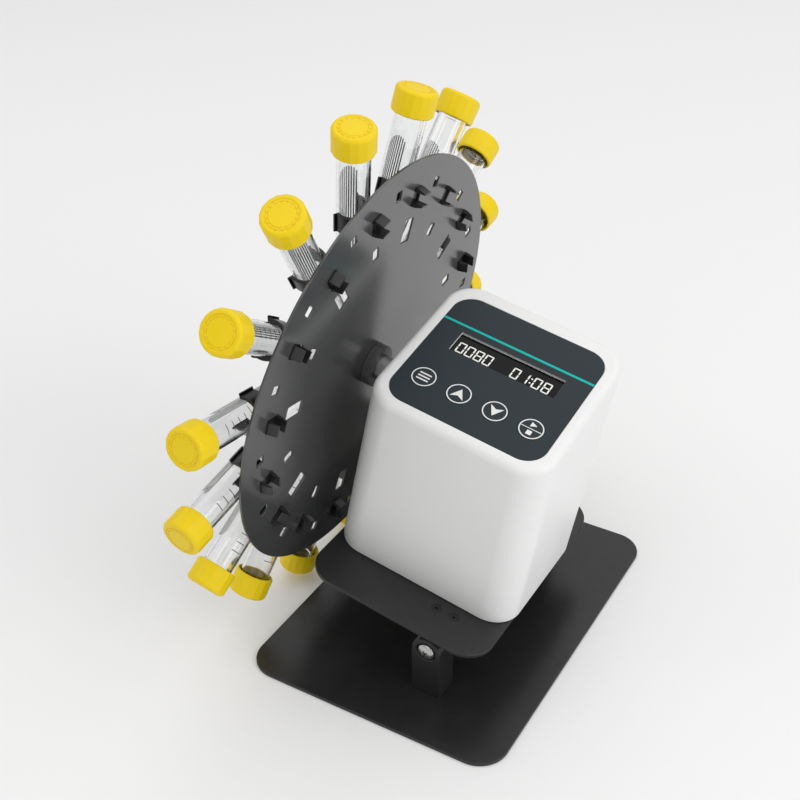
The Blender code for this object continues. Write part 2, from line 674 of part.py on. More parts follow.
def clip_mesh():
    """A clip in a frame at the tube's axis: X away from the disc's front is minus, Z is radial."""
    inner = TUBE_RADIUS + GAP
    outer = inner + CLIP_WALL
    seat = -TUBE_AXIS_X - DISC_THICKNESS - GAP
    foot_angle = math.acos(CLIP_FOOT_COSINE)
    left_side = [(outer * math.sin(a), outer * math.cos(a)) for a in spaced(foot_angle, CLIP_MOUTH, 7)]
    lip = [(outer * sideways, outer * away) for sideways, away in CLIP_LIP]
    lip_angle = CLIP_MOUTH - math.radians(3)
    hollow = [(inner * math.sin(a), inner * math.cos(a)) for a in spaced(lip_angle, math.pi, 9)]
    half = [(left_side[0][0], -seat), *left_side, *lip, *hollow]
    mirrored = [(-x, y) for x, y in reversed(half[:-1])]
    section = outline_mesh("clip", half + mirrored, CLIP_LENGTH)
    # The outline's X is the clip's tangential direction and its Y points away from the disc.
    across = Matrix(((0, -1, 0, 0), (1, 0, 0, 0), (0, 0, 1, 0), (0, 0, 0, 1)))
    section.transform(across)
    return section


def spaced(start, end, steps):
    return [start + (end - start) * k / steps for k in range(steps + 1)]


def prong_mesh(side):
    """One snap prong, drawn in the radial and axial directions and as wide as the slot allows."""
    front = DISC_THICKNESS + PRONG_ROOT
    outline = [
        (PRONG_INNER, -front),
        (PRONG_INNER, PRONG_REACH),
        (PRONG_INNER + PRONG_TIP_WIDTH, PRONG_REACH),
        (PRONG_OUTER + PRONG_BARB, GAP + PRONG_BARB_HEIGHT),
        (PRONG_OUTER + PRONG_BARB, GAP),
        (PRONG_OUTER, GAP),
        (PRONG_OUTER, -front),
    ]
    mesh = outline_mesh("prong", outline, PRONG_WIDTH)
    to_clip = Matrix(((0, 1, 0, -TUBE_AXIS_X), (0, 0, -1, 0), (side, 0, 0, 0), (0, 0, 0, 1)))
    mesh.transform(to_clip)
    return mesh


def make_clips_and_tubes(rotor):
    black = paint("clip_black", (0.012, 0.012, 0.012), 0.35)
    tube_paint = paint("capped_tube_clear", (0.85, 0.86, 0.86), 0.2)
    section = clip_mesh()
    prongs = merged_mesh("clip_prongs", [prong_mesh(1), prong_mesh(-1)])
    shape = bmesh.new()
    shape.from_mesh(prongs)
    bmesh.ops.recalc_face_normals(shape, faces=shape.faces)
    shape.to_mesh(prongs)
    shape.free()
    cone_end = TUBE_TIP + CONE_LENGTH
    cap_start = TUBE_END - CAP_HEIGHT
    profile = [
        (0, TUBE_END),
        (CAP_RADIUS - CAP_CHAMFER, TUBE_END),
        (CAP_RADIUS, TUBE_END - CAP_CHAMFER),
        (CAP_RADIUS, cap_start),
        (TUBE_RADIUS, cap_start),
        (TUBE_RADIUS, cone_end),
        *((radius, TUBE_TIP + height) for radius, height in CONE_NOSE),
        (0, TUBE_TIP),
    ]
    for index in range(TUBE_COUNT):
        angle = FIRST_TUBE + index * 2 * math.pi / TUBE_COUNT
        station = add_empty(f"station_{index + 1:02d}", rotor, (0, 0, 0), (angle - math.pi / 2, 0, 0))
        place = (TUBE_AXIS_X, 0, CLIP_RING_RADIUS)
        clip = add_object(f"clip_{index + 1:02d}", section.copy(), station, black, place)
        holder = add_object(f"clip_prongs_{index + 1:02d}", prongs, station, None, place)
        combine(clip, holder, "UNION")
        name = f"capped_tube_{index + 1:02d}"
        turn_profile(name, profile, station, tube_paint, (TUBE_AXIS_X, 0, 0), (0, 0, 0), 14)


def smooth_round_pieces():
    for made in bpy.data.collections["rotary_tube_mixer"].objects:
        if made.type == "MESH":
            made.data.shade_smooth()
            made.data.set_sharp_from_angle(angle=math.radians(35))


def main():
    clear_scene()
    head = add_empty("tilt_pivot", None, PIVOT, (0, REST_TILT, 0))
    panel_z = HOUSING_TOP_Z + math.tan(PANEL_SLOPE) * PANEL_CENTRE[1]
    panel = add_empty("panel_frame", head, (*PANEL_CENTRE, panel_z), (PANEL_SLOPE, 0, 0))
    rotor = add_empty("disc_axis", head, (DISC_BACK_X, 0, AXIS_Z))
    make_base()
    make_posts()
    make_tilt_plate(head)
    make_housing(head, panel)
    make_panel(panel)
    make_drive(head)
    make_rotor(rotor)
    make_clips_and_tubes(rotor)
    smooth_round_pieces()


main()
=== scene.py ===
"""A rotary tube mixer: the looks of every piece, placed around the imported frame.

World frame: X to the right with the disc on the left, Y to the back, Z up, in metres.
"""

import json
import math

import bmesh
import bpy
from mathutils import Matrix, Vector


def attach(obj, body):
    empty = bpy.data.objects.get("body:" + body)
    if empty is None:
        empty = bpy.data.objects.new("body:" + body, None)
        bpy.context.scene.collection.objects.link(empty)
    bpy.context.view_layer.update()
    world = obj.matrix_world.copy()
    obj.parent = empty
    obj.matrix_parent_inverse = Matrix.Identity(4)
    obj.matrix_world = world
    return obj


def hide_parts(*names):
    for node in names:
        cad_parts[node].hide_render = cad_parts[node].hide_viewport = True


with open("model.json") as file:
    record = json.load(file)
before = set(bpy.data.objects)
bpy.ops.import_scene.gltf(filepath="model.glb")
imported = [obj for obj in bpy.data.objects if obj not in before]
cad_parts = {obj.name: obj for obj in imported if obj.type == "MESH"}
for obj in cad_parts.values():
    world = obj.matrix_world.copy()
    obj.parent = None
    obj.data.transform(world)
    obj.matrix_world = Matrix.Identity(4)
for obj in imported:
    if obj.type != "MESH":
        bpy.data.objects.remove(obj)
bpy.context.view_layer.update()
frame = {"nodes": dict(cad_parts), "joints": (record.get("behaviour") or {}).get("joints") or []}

joints = {joint["name"]: joint for joint in frame["joints"]}


# ----------------------------------------
# Base plate. A 2 mm steel sheet with round corners and broken edges, powder coated satin black.
# It lies flat on the bench and carries the two posts.
BASE_WIDTH = 0.1550
BASE_LENGTH = 0.2108
BASE_THICKNESS = 0.0020
SHEET_CORNER = 0.0168
BASE_EDGE = 0.0004
COAT_BLACK = (0.0150, 0.0150, 0.0155)
MERGE_WITHIN = 1e-7
FLAT_FACE_WEIGHT = 60


def rounded_rectangle(width, length, radius, steps=16):
    """Outline of a rectangle with round corners, anticlockwise about the origin."""
    points = []
    for quarter, (side_x, side_y) in enumerate(((1, 1), (-1, 1), (-1, -1), (1, -1))):
        middle_x = side_x * (width / 2 - radius)
        middle_y = side_y * (length / 2 - radius)
        for step in range(steps + 1):
            angle = math.pi / 2 * (quarter + step / steps)
            x = middle_x + radius * math.cos(angle)
            points.append((x, middle_y + radius * math.sin(angle)))
    return points


def placed(name, data):
    """A new object in the scene that holds the given mesh, curve, lamp or camera."""
    made = bpy.data.objects.new(name, data)
    bpy.context.scene.collection.objects.link(made)
    return made


def settled_mesh(blank):
    """An object's mesh with its modifiers or curve settings worked out."""
    settled = blank.evaluated_get(bpy.context.evaluated_depsgraph_get())
    return bpy.data.meshes.new_from_object(settled)


def cut_sheet(name, outline, holes, bottom, top, edge):
    """A flat piece between two heights, with the edges of its outline and holes rounded over."""
    drawing = bpy.data.curves.new(name, "CURVE")
    drawing.dimensions = "2D"
    drawing.fill_mode = "BOTH"
    drawing.bevel_depth = edge
    drawing.bevel_resolution = 2
    drawing.offset = -edge
    drawing.extrude = (top - bottom) / 2 - edge
    for ring in (outline, *holes):
        spline = drawing.splines.new("POLY")
        spline.points.add(len(ring) - 1)
        for point, (x, y) in zip(spline.points, ring):
            point.co = (x, y, 0, 1)
        spline.use_cyclic_u = True
    blank = placed(name, drawing)
    mesh = settled_mesh(blank)
    bpy.data.objects.remove(blank)
    bpy.data.curves.remove(drawing)
    shape = bmesh.new()
    shape.from_mesh(mesh)
    bmesh.ops.remove_doubles(shape, verts=shape.verts, dist=MERGE_WITHIN)
    bmesh.ops.translate(shape, vec=(0, 0, (top + bottom) / 2), verts=shape.verts)
    bmesh.ops.recalc_face_normals(shape, faces=shape.faces)
    shape.to_mesh(mesh)
    shape.free()
    mesh.name = name
    return mesh


def smooth_round(mesh, limit=35):
    """Smooth edges round flat faces; edges of more than the limit in degrees stay sharp."""
    mesh.shade_smooth()
    mesh.set_sharp_from_angle(angle=math.radians(limit))
    name = mesh.name
    blank = placed(name, mesh)
    weighting = blank.modifiers.new("flat_faces", "WEIGHTED_NORMAL")
    weighting.keep_sharp = True
    weighting.weight = FLAT_FACE_WEIGHT
    result = settled_mesh(blank)
    bpy.data.objects.remove(blank)
    bpy.data.meshes.remove(mesh)
    result.name = name
    return result


def fit_piece(name, mesh, body, place, finishes, stands_for=()):
    """Puts a finished mesh in its place, on the body that it moves with."""
    mesh.materials.clear()
    for finish in finishes:
        mesh.materials.append(finish)
    piece = placed(name, mesh)
    piece.matrix_world = place
    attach(piece, body)
    if stands_for:
        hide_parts(*stands_for)
    return piece


def wire(tree, kind, inputs=None, **settings):
    """A node with its settings; each input takes a value or another node's socket."""
    made = tree.nodes.new(kind)
    for key, value in settings.items():
        setattr(made, key, value)
    for key, value in (inputs or {}).items():
        if isinstance(value, bpy.types.NodeSocket):
            tree.links.new(value, made.inputs[key])
        else:
            made.inputs[key].default_value = value
    return made


def maths(tree, operation, first, second=0.0):
    return wire(tree, "ShaderNodeMath", {0: first, 1: second}, operation=operation).outputs[0]


def stretched(tree, value, low, high, new_low=0.0, new_high=1.0):
    """A value moved from one range to another and held inside it."""
    inputs = {0: value, 1: low, 2: high, 3: new_low, 4: new_high}
    return wire(tree, "ShaderNodeMapRange", inputs).outputs[0]


def mixed(tree, share, first, second, blend="MIX"):
    inputs = {0: share, 6: first, 7: second}
    return wire(tree, "ShaderNodeMix", inputs, data_type="RGBA", blend_type=blend).outputs[2]


def effect_group(name, inputs, outputs):
    """An empty shader group with its sockets, and its input and output nodes."""
    tree = bpy.data.node_groups.new(name, "ShaderNodeTree")
    for label, kind, value in inputs:
        made = tree.interface.new_socket(label, in_out="INPUT", socket_type=f"NodeSocket{kind}")
        made.default_value = value
    for label, kind in outputs:
        tree.interface.new_socket(label, in_out="OUTPUT", socket_type=f"NodeSocket{kind}")
    entry = tree.nodes.new("NodeGroupInput")
    leave = tree.nodes.new("NodeGroupOutput")
    return tree, entry.outputs, leave.inputs


def cloud(tree, size, detail=2.0, roughness=0.5, stretch=(1, 1, 1)):
    """Soft random values over the piece; size is the width of a spot, in metres or as a socket."""
    place = wire(tree, "ShaderNodeTexCoord").outputs["Object"]
    longer = wire(tree, "ShaderNodeVectorMath", {0: place, 1: stretch}, operation="MULTIPLY")
    scale = maths(tree, "DIVIDE", 1.0, size)
    inputs = {"Vector": longer.outputs[0], "Scale": scale, "Detail": detail, "Roughness": roughness}
    return wire(tree, "ShaderNodeTexNoise", inputs).outputs["Fac"]


def make_surface_grain():
    """Fine pits and slow tone changes of a coated, moulded or blasted surface."""
    tree, given, out = effect_group(
        "surface_grain",
        (
            ("Colour", "Color", (0.5, 0.5, 0.5, 1)),
            ("Roughness", "Float", 0.5),
            ("Grain Size", "Float", 0.0004),
            ("Grain Depth", "Float", 0.3),
            ("Mottle", "Float", 0.1),
            ("Roughness Spread", "Float", 0.1),
        ),
        (("Colour", "Color"), ("Roughness", "Float"), ("Normal", "Vector")),
    )
    fine = cloud(tree, given["Grain Size"], 3.0, 0.6)
    patches = cloud(tree, 0.030, 4.0, 0.55)
    tone = maths(tree, "MULTIPLY", stretched(tree, patches, 0.3, 0.7, -1.0, 1.0), given["Mottle"])
    speck = maths(tree, "MULTIPLY", stretched(tree, fine, 0.3, 0.7, -0.5, 0.5), given["Mottle"])
    bright = maths(tree, "ADD", maths(tree, "ADD", tone, speck), 1.0)
    tint = wire(tree, "ShaderNodeCombineColor", {0: bright, 1: bright, 2: bright}).outputs[0]
    colour = mixed(tree, 1.0, given["Colour"], tint, "MULTIPLY")
    tree.links.new(colour, out["Colour"])
    swing = stretched(tree, patches, 0.3, 0.7, -1.0, 1.0)
    spread = maths(tree, "MULTIPLY", swing, given["Roughness Spread"])
    tree.links.new(maths(tree, "ADD", given["Roughness"], spread), out["Roughness"])
    bump = {"Height": fine, "Strength": given["Grain Depth"], "Distance": 0.00004}
    tree.links.new(wire(tree, "ShaderNodeBump", bump).outputs[0], out["Normal"])
    return tree


def make_edge_wear():
    """A mask of the outer edges that hands and tools rub, broken up by noise."""
    tree, given, out = effect_group(
        "edge_wear",
        (("Width", "Float", 0.0006), ("Amount", "Float", 0.5)),
        (("Mask", "Float"),),
    )
    rounded = wire(tree, "ShaderNodeBevel", {"Radius": given["Width"]}, samples=4).outputs[0]
    facing = wire(tree, "ShaderNodeNewGeometry").outputs["Normal"]
    turn = wire(tree, "ShaderNodeVectorMath", {0: rounded, 1: facing}, operation="DOT_PRODUCT")
    edge = stretched(tree, turn.outputs["Value"], 0.995, 0.90)
    broken = stretched(tree, cloud(tree, 0.0030, 5.0, 0.65), 0.42, 0.62)
    worn = maths(tree, "MULTIPLY", maths(tree, "MULTIPLY", edge, broken), given["Amount"])
    tree.links.new(worn, out["Mask"])
    return tree


def make_dust():
    """A mask of thin dust on surfaces that look up."""
    amount, mask = ("Amount", "Float", 0.1), ("Mask", "Float")
    tree, given, out = effect_group("settled_dust", [amount], [mask])
    facing = wire(tree, "ShaderNodeNewGeometry").outputs["Normal"]
    upward = stretched(tree, wire(tree, "ShaderNodeSeparateXYZ", {0: facing}).outputs[2], 0.6, 1.0)
    spots = stretched(tree, cloud(tree, 0.0100, 8.0, 0.7), 0.45, 0.75)
    lying = maths(tree, "MULTIPLY", maths(tree, "MULTIPLY", upward, spots), given["Amount"])
    tree.links.new(lying, out["Mask"])
    return tree


surface_grain = make_surface_grain()
edge_wear = make_edge_wear()
settled_dust = make_dust()


def new_finish(name):
    """A material, its node tree and its Principled shader."""
    finish = bpy.data.materials.new(name)
    finish.use_nodes = True
    return finish, finish.node_tree, finish.node_tree.nodes["Principled BSDF"]


def wear_the_edges(tree, shader, width, amount, bare, dust=0.0):
    """Shows a lighter tone along rubbed edges and, where asked, thin dust on top."""
    colour = shader.inputs["Base Color"].links[0].from_socket
    worn = wire(tree, "ShaderNodeGroup", {"Width": width, "Amount": amount}, node_tree=edge_wear)
    colour = mixed(tree, worn.outputs["Mask"], colour, (*bare, 1))
    if dust:
        lying = wire(tree, "ShaderNodeGroup", {"Amount": dust}, node_tree=settled_dust)
        colour = mixed(tree, lying.outputs["Mask"], colour, (0.42, 0.40, 0.37, 1))
    tree.links.new(colour, shader.inputs["Base Color"])


def grained_finish(
    name, colour, roughness, grain=(0.0004, 0.3), mottle=0.08, spread=0.05, wear=None, **more
):
    """A grained material. Grain is its size and depth, and wear is what wear_the_edges takes."""
    finish, tree, shader = new_finish(name)
    inputs = {"Colour": (*colour, 1), "Roughness": roughness, "Mottle": mottle}
    inputs |= {"Grain Size": grain[0], "Grain Depth": grain[1], "Roughness Spread": spread}
    grains = wire(tree, "ShaderNodeGroup", inputs, node_tree=surface_grain).outputs
    tree.links.new(grains["Colour"], shader.inputs["Base Color"])
    for label in ("Roughness", "Normal"):
        tree.links.new(grains[label], shader.inputs[label])
    for label, value in more.items():
        shader.inputs[label.replace("_", " ")].default_value = value
    if wear:
        wear_the_edges(tree, shader, *wear)
    return finish


def powder_coat(name, colour, roughness, dust):
    wear = (0.0005, 0.35, (0.075, 0.075, 0.078), dust)
    grain = (0.00035, 0.30)
    shine = {"Specular_IOR_Level": 0.42}
    return grained_finish(name, colour, roughness, grain, 0.035, 0.02, wear, **shine)


base_coat = powder_coat("base_powder_coat", COAT_BLACK, 0.30, 0.015)
base_sheet = cut_sheet(
    "base_sheet",
    rounded_rectangle(BASE_WIDTH, BASE_LENGTH, SHEET_CORNER, 24),
    [],
    0.0,
    BASE_THICKNESS,
    BASE_EDGE,
)
base_sheet = smooth_round(base_sheet)
fit_piece("base_sheet", base_sheet, "base", Matrix(), [base_coat], ["base_plate"])


# ----------------------------------------
# Posts. Two milled blocks with round tops stand on the base at the front and the rear. Each has
# a through hole and a counterbore, with chamfered rims, for the screw that the head leans on.
GAP = 0.0003
PIVOT = Vector(joints["head_tilt"]["pos_m"])
POST_FACE = 0.0744
POST_WIDTH = 0.0170
POST_DEPTH = 0.0160
POST_EDGE = 0.0005
RECESS_RADIUS = 0.0056
RECESS_DEPTH = 0.0021
RECESS_CHAMFER = 0.0004
SCREW_HOLE_RADIUS = 0.0028
SIDES = ((-1, "front"), (1, "rear"))


def arc(radius, start, end, steps, middle=(0.0, 0.0)):
    """Points on an arc, from the start angle to the end angle."""
    angles = [start + (end - start) * step / steps for step in range(steps + 1)]
    return [(middle[0] + radius * math.cos(a), middle[1] + radius * math.sin(a)) for a in angles]


def as_mesh(name, shape):
    mesh = bpy.data.meshes.new(name)
    shape.to_mesh(mesh)
    shape.free()
    return mesh


def skinned(name, rows, loop=False, ends=False):
    """A skin over rows of points. A row of one point is a tip, loop joins the last row to the
    first, and ends closes the first and last rows."""
    shape = bmesh.new()
    rows = [[shape.verts.new(point) for point in row] for row in rows]
    for row, following in zip(rows, rows[1:] + (rows[:1] if loop else [])):
        count = max(len(row), len(following))
        for place in range(count):
            after = (place + 1) % count
            corners = [row[place % len(row)], row[after % len(row)]]
            corners += [following[after % len(following)], following[place % len(following)]]
            corners = list(dict.fromkeys(corners))
            if len(corners) > 2:
                shape.faces.new(corners)
    if ends:
        shape.faces.new(rows[0])
        shape.faces.new(rows[-1])
    bmesh.ops.recalc_face_normals(shape, faces=shape.faces)
    return as_mesh(name, shape)


def around(radius, angle, height):
    return (radius * math.cos(angle), radius * math.sin(angle), height)


def turned(name, profile, sides=64, closed=False):
    """A shape turned about Z from (radius, height) points; a closed profile makes a ring."""
    angles = [2 * math.pi * side / sides for side in range(sides)]
    rows = []
    for radius, height in profile:
        on_axis = radius < MERGE_WITHIN
        rows.append([(0, 0, height)] if on_axis else [around(radius, a, height) for a in angles])
    return skinned(name, rows, closed)


def carved(mesh, cutters):
    """The mesh with each closed cutter mesh taken out of it."""
    blank = placed(mesh.name, mesh)
    tools = [placed(cutter.name, cutter) for cutter in cutters]
    for tool in tools:
        removing = blank.modifiers.new(tool.name, "BOOLEAN")
        removing.operation = "DIFFERENCE"
        removing.solver = "EXACT"
        removing.object = tool
    result = settled_mesh(blank)
    for tool in (blank, *tools):
        used = tool.data
        bpy.data.objects.remove(tool)
        bpy.data.meshes.remove(used)
    return result


def moved(mesh, matrix):
    mesh.transform(matrix)
    if matrix.is_negative:
        mesh.flip_normals()
    return mesh


post_coat = powder_coat("post_satin_black", (0.0165, 0.0165, 0.0170), 0.36, 0.03)
half_width = POST_WIDTH / 2
foot = BASE_THICKNESS - PIVOT.z
post_outline = [(-half_width, foot), (half_width, foot), *arc(half_width, 0, math.pi, 32)]
for side, word in SIDES:
    block = cut_sheet(f"{word}_post_block", post_outline, [], 0.0, POST_DEPTH, POST_EDGE)
    reach = 2 * POST_DEPTH
    counterbore = turned(
        "counterbore",
        [
            (0, reach),
            (RECESS_RADIUS + RECESS_CHAMFER, reach),
            (RECESS_RADIUS + RECESS_CHAMFER, POST_DEPTH),
            (RECESS_RADIUS, POST_DEPTH - RECESS_CHAMFER),
            (RECESS_RADIUS, POST_DEPTH - RECESS_DEPTH),
            (SCREW_HOLE_RADIUS, POST_DEPTH - RECESS_DEPTH),
            (SCREW_HOLE_RADIUS, -POST_DEPTH),
            (0, -POST_DEPTH),
        ],
        48,
    )
    block = carved(block, [counterbore])
    # The block is drawn in XZ with its outer face up; the front one is turned round to face -Y.
    stand = Matrix.Translation((PIVOT.x, side * (POST_FACE - POST_DEPTH), PIVOT.z))
    if side < 0:
        stand = stand @ Matrix.Rotation(math.pi / 2, 4, "X")
    else:
        stand = stand @ Matrix.Rotation(math.pi, 4, "Z") @ Matrix.Rotation(math.pi / 2, 4, "X")
    name = f"{word}_post_block"
    fit_piece(name, smooth_round(block), "base", stand, [post_coat], [f"{word}_post"])


# ----------------------------------------
# Pivot screws. Bright stainless pan-head screws with a cross recess, one through each post into
# the lug behind it. Their heads sit in the counterbores, and the head of the mixer leans on them.
PIVOT_HEAD_RADIUS = 0.0049
PIVOT_HEAD_SEAT = 0.0018
PIVOT_HEAD_HEIGHT = 0.0030
PIVOT_SHANK_RADIUS = 0.0025
PIVOT_SHANK_LENGTH = 0.0230


def make_turning_marks():
    """Fine lines that a lathe or a polishing belt leaves, as a roughness and a normal."""
    tree, given, out = effect_group(
        "turning_marks",
        (("Roughness", "Float", 0.25), ("Line Width", "Float", 0.0002), ("Depth", "Float", 0.2)),
        (("Roughness", "Float"), ("Normal", "Vector"), ("Tone", "Float")),
    )
    lines = cloud(tree, given["Line Width"], 2.0, 0.7, (0.06, 0.06, 1.0))
    smears = cloud(tree, 0.0060, 4.0, 0.6)
    change = stretched(tree, lines, 0.3, 0.7, -0.06, 0.06)
    change = maths(tree, "ADD", change, stretched(tree, smears, 0.3, 0.7, -0.05, 0.07))
    tree.links.new(maths(tree, "ADD", given["Roughness"], change), out["Roughness"])
    bump = {"Height": lines, "Strength": given["Depth"], "Distance": 0.00002}
    tree.links.new(wire(tree, "ShaderNodeBump", bump).outputs[0], out["Normal"])
    tree.links.new(stretched(tree, smears, 0.3, 0.7, 0.86, 1.0), out["Tone"])
    return tree


turning_marks = make_turning_marks()


def turned_metal(name, colour, roughness, depth=0.2, metallic=1.0, line=0.0002):
    finish, tree, shader = new_finish(name)
    inputs = {"Roughness": roughness, "Depth": depth, "Line Width": line}
    marks = wire(tree, "ShaderNodeGroup", inputs, node_tree=turning_marks)
    tone = marks.outputs["Tone"]
    tint = wire(tree, "ShaderNodeCombineColor", {0: tone, 1: tone, 2: tone}).outputs[0]
    tree.links.new(mixed(tree, 1.0, (*colour, 1), tint, "MULTIPLY"), shader.inputs["Base Color"])
    tree.links.new(marks.outputs["Roughness"], shader.inputs["Roughness"])
    tree.links.new(marks.outputs["Normal"], shader.inputs["Normal"])
    shader.inputs["Metallic"].default_value = metallic
    return finish


def cross_recess(reach, width, depth, top):
    """The cutter for a cross recess: two tapered bars that meet in a point below the head's top."""
    cutters = []
    for turn in (0, math.pi / 2):
        shape = bmesh.new()
        bmesh.ops.create_cube(shape, size=1.0)
        for corner in shape.verts:
            upper = corner.co.z > 0
            corner.co.x *= 2 * reach if upper else 0.9 * reach
            corner.co.y *= width if upper else 0.6 * width
            corner.co.z = top + depth if upper else top - depth
        bmesh.ops.rotate(shape, matrix=Matrix.Rotation(turn, 3, "Z"), verts=shape.verts)
        cutters.append(as_mesh("cross_bar", shape))
    return cutters


stainless = turned_metal("polished_stainless", (0.55, 0.55, 0.54), 0.24, 0.15)
pan_profile = [(0, PIVOT_HEAD_HEIGHT)]
pan_profile += [
    (PIVOT_HEAD_RADIUS * math.sin(angle), PIVOT_HEAD_HEIGHT * (0.45 + 0.55 * math.cos(angle)))
    for angle in [math.radians(step) for step in range(10, 91, 8)]
]
pan_profile += [
    (PIVOT_HEAD_RADIUS, 0.0003),
    (PIVOT_HEAD_RADIUS - 0.0003, 0),
    (PIVOT_SHANK_RADIUS, 0),
    (PIVOT_SHANK_RADIUS, -PIVOT_SHANK_LENGTH + 0.0005),
    (PIVOT_SHANK_RADIUS - 0.0005, -PIVOT_SHANK_LENGTH),
    (0, -PIVOT_SHANK_LENGTH),
]
for side, word in SIDES:
    screw = carved(
        turned(f"{word}_pivot_pan_screw", pan_profile, 48),
        cross_recess(0.0025, 0.0009, 0.0016, PIVOT_HEAD_HEIGHT),
    )
    seat = Vector((PIVOT.x, side * (POST_FACE - PIVOT_HEAD_SEAT), PIVOT.z))
    stand = Matrix.Translation(seat) @ Matrix.Rotation(-side * math.pi / 2, 4, "X")
    stand = stand @ Matrix.Rotation(math.radians(25), 4, "Z")
    name = f"{word}_pivot_pan_screw"
    screw = smooth_round(screw, 30)
    fit_piece(name, screw, "base", stand, [stainless], [f"{word}_pivot_screw"])


# ----------------------------------------
# Tilt plate and lugs. A second coated sheet carries the housing. Two round-ended lugs hang from
# it between the posts, each held by two black countersunk screws sunk flush in the plate.
spin_axis = Vector(joints["disc_spin"]["axis"]).normalized()
HEAD_LEAN = math.atan2(-spin_axis.z, spin_axis.x)
head_place = Matrix.Translation(PIVOT) @ Matrix.Rotation(HEAD_LEAN, 4, "Y")
PLATE_WIDTH = 0.1090
PLATE_LENGTH = 0.1498
PLATE_THICKNESS = 0.0025
PLATE_MIDDLE_X = -0.0248
PLATE_TOP = 0.0121
LUG_LEFT = -0.0115
LUG_RIGHT = 0.0080
LUG_ROUND = 0.0075
LUG_SHOULDER = 0.0030
LUG_THICKNESS = 0.0080
LUG_SCREWS_X = (-0.0072, 0.0035)
SUNK_HEAD_RADIUS = 0.0030
SUNK_SHANK_RADIUS = 0.0015
SUNK_RIM = 0.0003
SUNK_BELOW = 0.0001
SUNK_LENGTH = 0.0052


def sunk_profile(grow, top):
    """Profile of a countersunk screw, or of the hole for it, larger by grow."""
    head = SUNK_HEAD_RADIUS + grow
    shank = SUNK_SHANK_RADIUS + grow
    rim = -SUNK_RIM - grow
    cone_foot = rim - (SUNK_HEAD_RADIUS - SUNK_SHANK_RADIUS)
    end = -SUNK_LENGTH - grow
    return [(0, top), (head, top), (head, rim), (shank, cone_foot), (shank, end), (0, end)]


plate_coat = powder_coat("tilt_plate_powder_coat", (0.0190, 0.0190, 0.0195), 0.42, 0.015)
lug_coat = powder_coat("lug_satin_black", (0.0150, 0.0150, 0.0155), 0.40, 0.0)
black_oxide = turned_metal("black_oxide", (0.050, 0.050, 0.052), 0.34, 0.2, 0.85)
plate_outline = rounded_rectangle(PLATE_WIDTH, PLATE_LENGTH, SHEET_CORNER, 24)
tilt_sheet = cut_sheet(
    "tilt_sheet", plate_outline, [], PLATE_TOP - PLATE_THICKNESS, PLATE_TOP, 0.0005
)
moved(tilt_sheet, Matrix.Translation((PLATE_MIDDLE_X, 0, 0)))
lug_y = POST_FACE - POST_DEPTH - GAP - LUG_THICKNESS / 2
screw_places = [(x, side * lug_y, PLATE_TOP) for side in (-1, 1) for x in LUG_SCREWS_X]
sinks = [
    moved(turned("countersink", sunk_profile(GAP * 0.6, 0.0020), 40), Matrix.Translation(place))
    for place in screw_places
]
tilt_sheet = smooth_round(carved(tilt_sheet, sinks))
fit_piece("tilt_sheet", tilt_sheet, "head", head_place, [plate_coat], ["tilt_plate"])

lug_top = PLATE_TOP - PLATE_THICKNESS - GAP
lug_outline = [(LUG_LEFT, lug_top), (LUG_LEFT, lug_top - LUG_SHOULDER)]
lug_outline += arc(LUG_ROUND, -math.pi, 0, 28)
lug_outline += [(LUG_RIGHT, lug_top - LUG_SHOULDER), (LUG_RIGHT, lug_top)]
pin_hole = arc(SCREW_HOLE_RADIUS, 0, 2 * math.pi * 31 / 32, 31)
upright = Matrix.Rotation(math.pi / 2, 4, "X")
for side, word in SIDES:
    block = cut_sheet(
        f"{word}_lug_block", lug_outline, [pin_hole], -LUG_THICKNESS / 2, LUG_THICKNESS / 2, 0.0004
    )
    moved(block, Matrix.Translation((0, side * lug_y, 0)) @ upright)
    block = smooth_round(block)
    fit_piece(f"{word}_lug_block", block, "head", head_place, [lug_coat], [f"{word}_lug"])
    for number, x in enumerate(LUG_SCREWS_X, 1):
        name = f"{word}_sunk_screw_{number}"
        screw = turned(name, sunk_profile(0, -SUNK_BELOW), 40)
        screw = carved(screw, cross_recess(0.0016, 0.0006, 0.0010, -SUNK_BELOW))
        turn = Matrix.Rotation(math.radians(20 + 37 * number * side), 4, "Z")
        moved(screw, Matrix.Translation((x, side * lug_y, PLATE_TOP)) @ turn)
        node = f"{word}_lug_screw_{number}"
        screw = smooth_round(screw, 30)
        fit_piece(name, screw, "head", head_place, [black_oxide], [node])


# ----------------------------------------
# Housing. One injection-moulded ABS cover, off-white with a fine satin texture. It widens towards
# its foot, has large round corners and a rolled top edge, and a sunk seat for the control panel.
HOUSING_MIDDLE_X = -0.0242
HOUSING_FOOT = (0.1100, 0.0926)
HOUSING_TOP = (0.1029, 0.0992)
HOUSING_CORNER = 0.0167
HOUSING_TOP_Z = 0.1315
HOUSING_EDGE = 0.0037
HOUSING_WALL = 0.0025
PANEL_SLOPE = math.atan(0.2145)
PANEL_CENTRE = (-0.0240, -0.0019)
PANEL_WIDTH = 0.0883
PANEL_LENGTH = 0.0845
PANEL_THICKNESS = 0.0006
PANEL_CORNER = 0.0117
SEAT_DEPTH = 0.0009
SEAT_THICKNESS = 0.0016
CUTTER_HALF = 0.02
WINDOW_WIDTH = 0.0611
WINDOW_HEIGHT = 0.0142
WINDOW_CENTRE = (0.0002, 0.0090)
KEY_PLACES = [(0.02055 * place, -0.0222) for place in (-1.5, -0.5, 0.5, 1.5)]
KEY_RADIUS = 0.0070
AXIS_Z = 0.1006
BUSH_RADIUS = 0.0085
JACK_HEIGHT = 0.0340
JACK_BARREL_RADIUS = 0.0054

